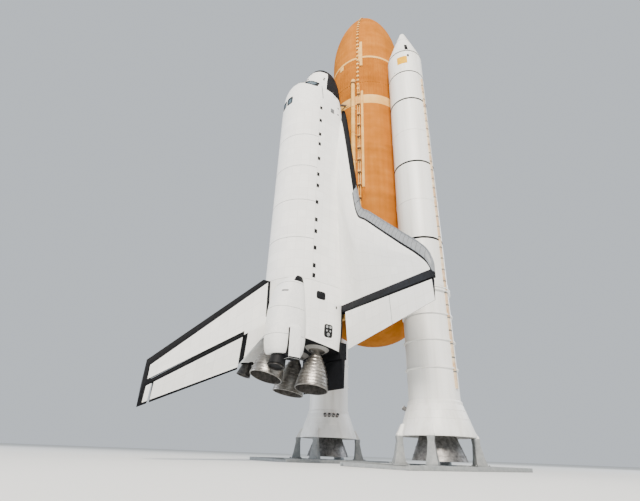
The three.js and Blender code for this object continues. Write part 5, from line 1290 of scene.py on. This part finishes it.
for side, hand in ((1, "starboard"), (-1, "port")):
    rows = []
    for s in np.concatenate([[1311, 1312, 1314, 1317, 1321], np.linspace(1326, 1540, 42),
                             [1543, 1546, 1548]]):
        y, height, half_width, half_height = smooth(POD_ROWS, s)
        bend = [bent(t, POD_POWER) for t in round_turn(72)]
        ring = [clear_of_bell(s, y + half_width * a, height + half_height * b) for a, b in bend]
        rows.append([on_orbiter(a, side * b, c) for a, b, c in ring])
    finish = lambda i, j: 1 if 1 <= i < 7 and (j >= 64 or j <= 3 or 20 <= j <= 28) else 0
    origin, way = on_orbiter(1522, side * 88, 494), along_orbiter(1, side * 0.113, 0.27)
    well = spun([(0, 0), (17, 0), (24, 60), (0, 60)], origin, way, 48, mat=2)
    parts = [solid(rows, zones=finish)]
    for s, low_turn, high_turn, width in POD_SEAMS:
        band = []
        for v, lift in ((s - width / 2, -0.3), (s - width / 2, 0.22), (s + width / 2, 0.22),
                        (s + width / 2, -0.3)):
            y, height, half_width, half_height = smooth(POD_ROWS, v)
            row = []
            for t in np.linspace(low_turn, high_turn, 30):
                a, b = bent(t, POD_POWER)
                row.append(clear_of_bell(v, y + (half_width + lift) * a, height + (half_height + lift) * b))
            band.append([on_orbiter(a, side * b, c) for a, b, c in row])
        parts.append(solid(list(zip(*band)), mat=3))
    piece(f"pod_{hand}_fairing", parts, [white_tile, black_tile, seal_black, vent_grey], "stack",
          [f"pod_{hand}"], cuts=[("DIFFERENCE", [well])])
    corners = ((1, 1), (1, -1), (-1, -1), (-1, 1))
    rows = [[on_orbiter(s, side * (121 + a * w), 482 + b * h) for a, b in corners]
            for s, w, h in ((1466, 8, 10), (1474, 15.5, 16.5), (1480, 17, 18), (1558, 17, 18),
                            (1562, 15.6, 16.6))]
    parts = [solid(rows, zones=lambda i, j: 2 if i in (3, 5) or i == 2 and j == 3 else 0)]
    for row in range(3):
        for column in range(3):
            spot = on_orbiter(1561.4, side * (111 + 10 * column), 471 + 11 * row)
            parts.append(spun([(0, 0), (3.6, 0), (3.2, 0.6), (2.9, -2), (0, -2)], spot,
                              along_orbiter(1, 0, 0), 16, mat=1))
    for s in (1492, 1508, 1524, 1540):
        spot = on_orbiter(s, side * 137.6, 486)
        parts.append(spun([(0, 0), (4.0, 0), (3.6, 0.6), (3.2, -2), (0, -2)], spot, along_orbiter(0, side, 0),
                          16, mat=1))
    piece(f"thruster_housing_{hand}", parts, [white_tile, thruster_cup, black_tile], "stack",
          bevel=0.01)
    cup = [(0, 0.25), (8, 0.25), (6, 10), (11, 22), (17, 40), (21.5, 64),
           (20.3, 64), (15.8, 40), (9.6, 22), (4, 13), (0, 13)]
    piece(f"pod_engine_{hand}_nozzle", [spun(cup, origin, way, 48)], [pod_metal], "stack",
          [f"pod_engine_{hand}"])


# Wings. A double-delta box of aluminium ribs and skin, tiled black below and white above, with
# grey carbon panels for its leading edge outboard of the glove.
WING_ROWS = [
    # y, leading edge station, deepest thickness
    (80, 500, 62),
    (92, 503, 61),
    (100, 512, 60),
    (105, 527, 60),
    (125, 640, 57),
    (150, 800, 54),
    (175, 955, 51),
    (190, 1015, 49),
    (205, 1045, 47.5),
    (230, 1066, 45),
    (300, 1136, 38),
    (380, 1216, 30),
    (440, 1276, 23),
    (458, 1300, 19),
    (468.3, 1330, 14),
]
HINGE_STATION = 1387
EDGE_START, EDGE_DEPTH = 170, 36
COVE_LIP = 5
SEAL_DEPTH = 8  # dark tiles just behind the carbon edge
DOOR_DEPTH = 20  # hinged seal doors ahead of the elevons


def wing_at(y):
    leading, deepest = smooth(WING_ROWS, y)
    lower = 268 + 0.0551 * max(y - 105, 0)
    return leading, deepest, lower, 22 - 0.032 * (y - 105)


def wing_heights(y, share):
    leading, deepest, lower, hinge = wing_at(y)
    nose = min(1, (share / 0.42) ** 0.5 * (1.5 - 0.5 * (share / 0.42)))
    full = deepest * nose if share < 0.42 else deepest + (hinge - deepest) * (share - 0.42) / 0.58
    low = lower + 10 * max(0, 1 - share / 0.3) ** 2 * min(1, deepest / 40)
    below = (share / 0.05) ** 0.5 if share < 0.05 else 1
    return low + 8 * (1 - below), max(lower + full, low + 8)


def wing_ring(y, start, end, side, steps=30, cove=True):
    """A closed section: upper skin aft, round the cove if there is one, and the lower skin forward."""
    leading, _, lower, hinge = wing_at(y)
    chord = HINGE_STATION - leading
    end = min(end, 1 - COVE_LIP / chord) if cove else end
    if not cove:
        shares = end * (1 - np.cos(np.linspace(0, math.pi / 2, steps)))
    elif start == 0:
        turns = np.linspace(0, math.pi / 2, steps - 1)
        shares = np.append((end - DOOR_DEPTH / chord) * (1 - np.cos(turns)), end)
    else:
        shares = np.hstack([start, np.linspace(start + SEAL_DEPTH / chord, end - DOOR_DEPTH / chord,
                                               steps - 2), end])
    heights = [wing_heights(y, s) for s in shares]
    upper = [(leading + s * chord, side * y, h[1]) for s, h in zip(shares, heights)]
    under = [(leading + s * chord, side * y, h[0]) for s, h in zip(shares, heights)][::-1]
    if start == 0:
        under[-1] = (under[-1][0], under[-1][1], upper[0][2] - 0.6)
    arc = []
    if cove:
        middle, radius = lower + hinge / 2, hinge / 2 * 1.009 + 0.3
        lip = math.acos(-COVE_LIP / radius)
        arc = [(HINGE_STATION + radius * math.cos(t), side * y, middle + radius * math.sin(t))
               for t in np.linspace(lip, 2 * math.pi - lip, 11)]
    return upper + arc + under


def edge_share(y):
    return EDGE_DEPTH / (HINGE_STATION - wing_at(y)[0])


# Hinged seal doors of bare dark metal, a little smoother than the tiles beside them.
seal_door = plain_finish("dark_hinged_seal_door", "#0b0c10", "#191b22", 0.6, gloss=0.25)
STEPS = 30
for side, hand in ((1, "starboard"), (-1, "port")):
    rows = [wing_ring(y, 0, 1, side) for y in np.linspace(80, EDGE_START, 22)]
    count = len(rows[0])
    finish = lambda i, j: 2 if STEPS - 2 <= j < STEPS + 10 else 1 if j < 7 or j >= STEPS + 10 else 0
    parts = [orbiter_solid(rows, finish)]
    rows = [wing_ring(y, edge_share(y) + 0.0004, 1, side)
            for y in np.concatenate([np.linspace(EDGE_START - 0.01, 240, 18), np.linspace(246, 468.3, 44)])]
    finish = lambda i, j: 2 if STEPS - 2 <= j < STEPS + 10 else 1 if j == 0 or j >= STEPS + 10 else 0
    parts.append(orbiter_solid(rows, finish))
    piece(f"wing_{hand}_skin", parts, [felt_blanket, black_tile, seal_door], "stack",
          [f"wing_{hand}"])
    seams = np.linspace(EDGE_START, 468.3, 23)[1:-1]
    spans = np.union1d(np.concatenate([np.linspace(EDGE_START + 0.25, 240, 24), np.linspace(246, 468.3, 60)]),
                       np.concatenate([seams - 0.35, seams + 0.35]))
    rows = [wing_ring(y, 0, edge_share(y), side, 14, False) for y in spans]

    def panel_finish(i, j):
        in_seam = 0 <= i < len(spans) - 1 and min(abs(spans[i:i + 2].mean() - seams)) < 0.3
        return 1 if in_seam else 0

    parts = [orbiter_solid(rows, panel_finish)]
    piece(f"wing_leading_edge_{hand}_panels", parts, [edge_carbon, seal_black], "stack",
          [f"wing_leading_edge_{hand}"])

    # Elevons, hinged along the rear of the wing
    for place_name, inboard, outboard in (("inboard", 118, 311.4), ("outboard", 312.6, 463)):
        rows = []
        for y in np.linspace(inboard, outboard, 12):
            _, _, lower, hinge = wing_at(y)
            middle, radius, trailing = lower + hinge / 2, hinge / 2, 1523 - 0.1773 * y
            nose = [(HINGE_STATION + radius * math.cos(t), side * y, middle + radius * math.sin(t))
                    for t in np.linspace(math.pi / 2, 1.5 * math.pi, 17)]
            rows.append(nose + [(trailing, side * y, middle - 0.5), (trailing, side * y, middle + 0.5)])
        finish = lambda i, j: 0 if j == 18 else 1
        parts = [orbiter_solid(rows, finish)]
        piece(f"elevon_{place_name}_{hand}_skin", parts, [felt_blanket, black_tile],
              f"elevon_{place_name}_{hand}", [f"elevon_{place_name}_{hand}"])


# Body flap. A honeycomb flap under the engines, tiled black all over, on a hinge along its nose.
rows = []
for y in np.linspace(-103, 103, 14):
    nose = [(FLAP_STATION + FLAP_RADIUS * math.cos(t), y, FLAP_HEIGHT + FLAP_RADIUS * math.sin(t))
            for t in np.linspace(math.pi / 2, 1.5 * math.pi, 17)]
    rows.append(nose + [(1613, y, 281), (1613, y, 283)])
piece("body_flap_panel", [orbiter_solid(rows)], [black_tile], "body_flap", ["body_flap"])


# Fin and rudder. A thin wedge of machined aluminium, white with black-tiled edges. The rudder is
# split in two panels that open like a book as a speed brake, on a turning tube.
RUDDER_LOW, RUDDER_HIGH, GAP_BELOW, GAP_ABOVE = 577, 790, 3.2, 5.4


def fin_leading(z):
    return 1279.8 + (z - 500)


def fin_trailing(z):
    return 1548.3 + 0.493 * (z - 500)


def rudder_hinge(z):
    return 1492 + 0.69 * (z - 575)


def fin_half(z):
    return 13.5 + (6.5 - 13.5) * (z - 500) / 315.7


def fin_side(z):
    """The fin's half section from its leading edge aft: (station, half thickness)."""
    lead, mid, trail, thick = fin_leading(z), rudder_hinge(z), fin_trailing(z), fin_half(z)
    nose = min(0.22 * thick + 1, thick)
    tip = max(0.0, (z - 806) / 9.7)
    thick, nose = thick * (1 - 0.3 * tip ** 2), nose * (1 - 0.3 * tip ** 2)
    points = [(lead, 0.0), (lead + 0.4, nose * 0.55), (lead + 1.1, nose * 0.85), (lead + 2.2, nose)]
    for s in (lead + 22, lead + 40, (lead + mid) / 2, mid - 22, mid - 11, mid):
        points.append((s, nose + (thick - nose) * (s - lead - 2.2) / (mid - lead - 2.2)))
    for s in (mid + 5, mid + 10, (mid + trail) / 2, trail - 6, trail):
        points.append((s, thick + (0.7 - thick) * (s - mid) / (trail - mid)))
    return points


FIN_LEVELS = [484, 496, 503, 511, 520, 534, 548, 562, 573.8, 577, 590, 610, 640, 670, 700, 730, 760, 780,
              790, 795.4, 806, 809, 812, 814.4, 815.7]


def fin_skin():
    rows = []
    for z in FIN_LEVELS:
        half = fin_side(z)
        rows.append([(s, v, z) for s, v in half] + [(s, -v, z) for s, v in reversed(half[1:])])
    last = len(half) - 1

    def finish(i, j):
        k = j if j < last else 2 * last - j
        z = FIN_LEVELS[min(max(i, 0), len(FIN_LEVELS) - 1)]
        if z >= 806 or i < 0 or k <= 3 or k >= last - 1:
            return 1
        if z <= 503 and k <= 6 or k >= 9 and z == 562:
            return 1
        return 1 if 8 <= k <= 9 and z >= 573.8 else 0

    return orbiter_solid(rows, finish)


def slab(outline, low_y, high_y, mat=1):
    """A flat plate whose outline is (station, height), between two distances to starboard."""
    return orbiter_solid([[(s, y, z) for s, z in outline] for y in (low_y, high_y)], mat=mat)


def rudder_zone(low, high_z, low_y, high_y):
    return slab([(rudder_hinge(low), low), (1800, low), (1800, high_z), (rudder_hinge(high_z), high_z)],
                low_y, high_y)


def hinge_cone(low, high_z, low_radius, high_radius, mat=1):
    start, end = on_orbiter(rudder_hinge(low), 0, low), on_orbiter(rudder_hinge(high_z), 0, high_z)
    length = np.linalg.norm(end - start) / INCH
    return spun([(0, 0), (low_radius, 0), (high_radius, length), (0, length)], start, end - start, 48,
                mat=mat)


low, high_z = RUDDER_LOW - GAP_BELOW, RUDDER_HIGH + GAP_ABOVE
corner = [(1443, 470), (1700, 470), (1700, 576), (1574, 576), (1490, 516), (1466, 497), (1443, 491)]
piece("fin_skin", [fin_skin()], [felt_blanket, black_tile], "stack", ["fin"], cuts=[
    ("DIFFERENCE", [rudder_zone(low, high_z, -40, 40)]),
    ("DIFFERENCE", [hinge_cone(low, high_z, fin_half(low) + 2.3, fin_half(high_z) + 2.3)]),
    ("DIFFERENCE", [slab(corner, -41, 41)]),
    ("DIFFERENCE", [block(on_orbiter(1200, -40, 400), on_orbiter(1306.5, 40, 540), 1)])])
piece("rudder_hinge_seal", [hinge_cone(low + 0.3, high_z - 0.3, fin_half(low) * 0.8, fin_half(high_z) * 0.8)],
      [felt_blanket, black_tile], "rudder_tube", ["rudder_hinge_tube"])
for side, hand in ((1, "starboard"), (-1, "port")):
    bore = [fin_half(z) * 0.8 * 1.009 + 0.08 for z in (RUDDER_LOW - 20, RUDDER_HIGH + 20)]
    piece(f"rudder_panel_{hand}_skin", [fin_skin()], [felt_blanket, black_tile], f"rudder_panel_{hand}",
          [f"rudder_panel_{hand}"], cuts=[
              ("INTERSECT", [rudder_zone(RUDDER_LOW, RUDDER_HIGH, *sorted((side * 0.24, side * 40)))]),
              ("DIFFERENCE", [hinge_cone(RUDDER_LOW - 20, RUDDER_HIGH + 20, *bore)])])
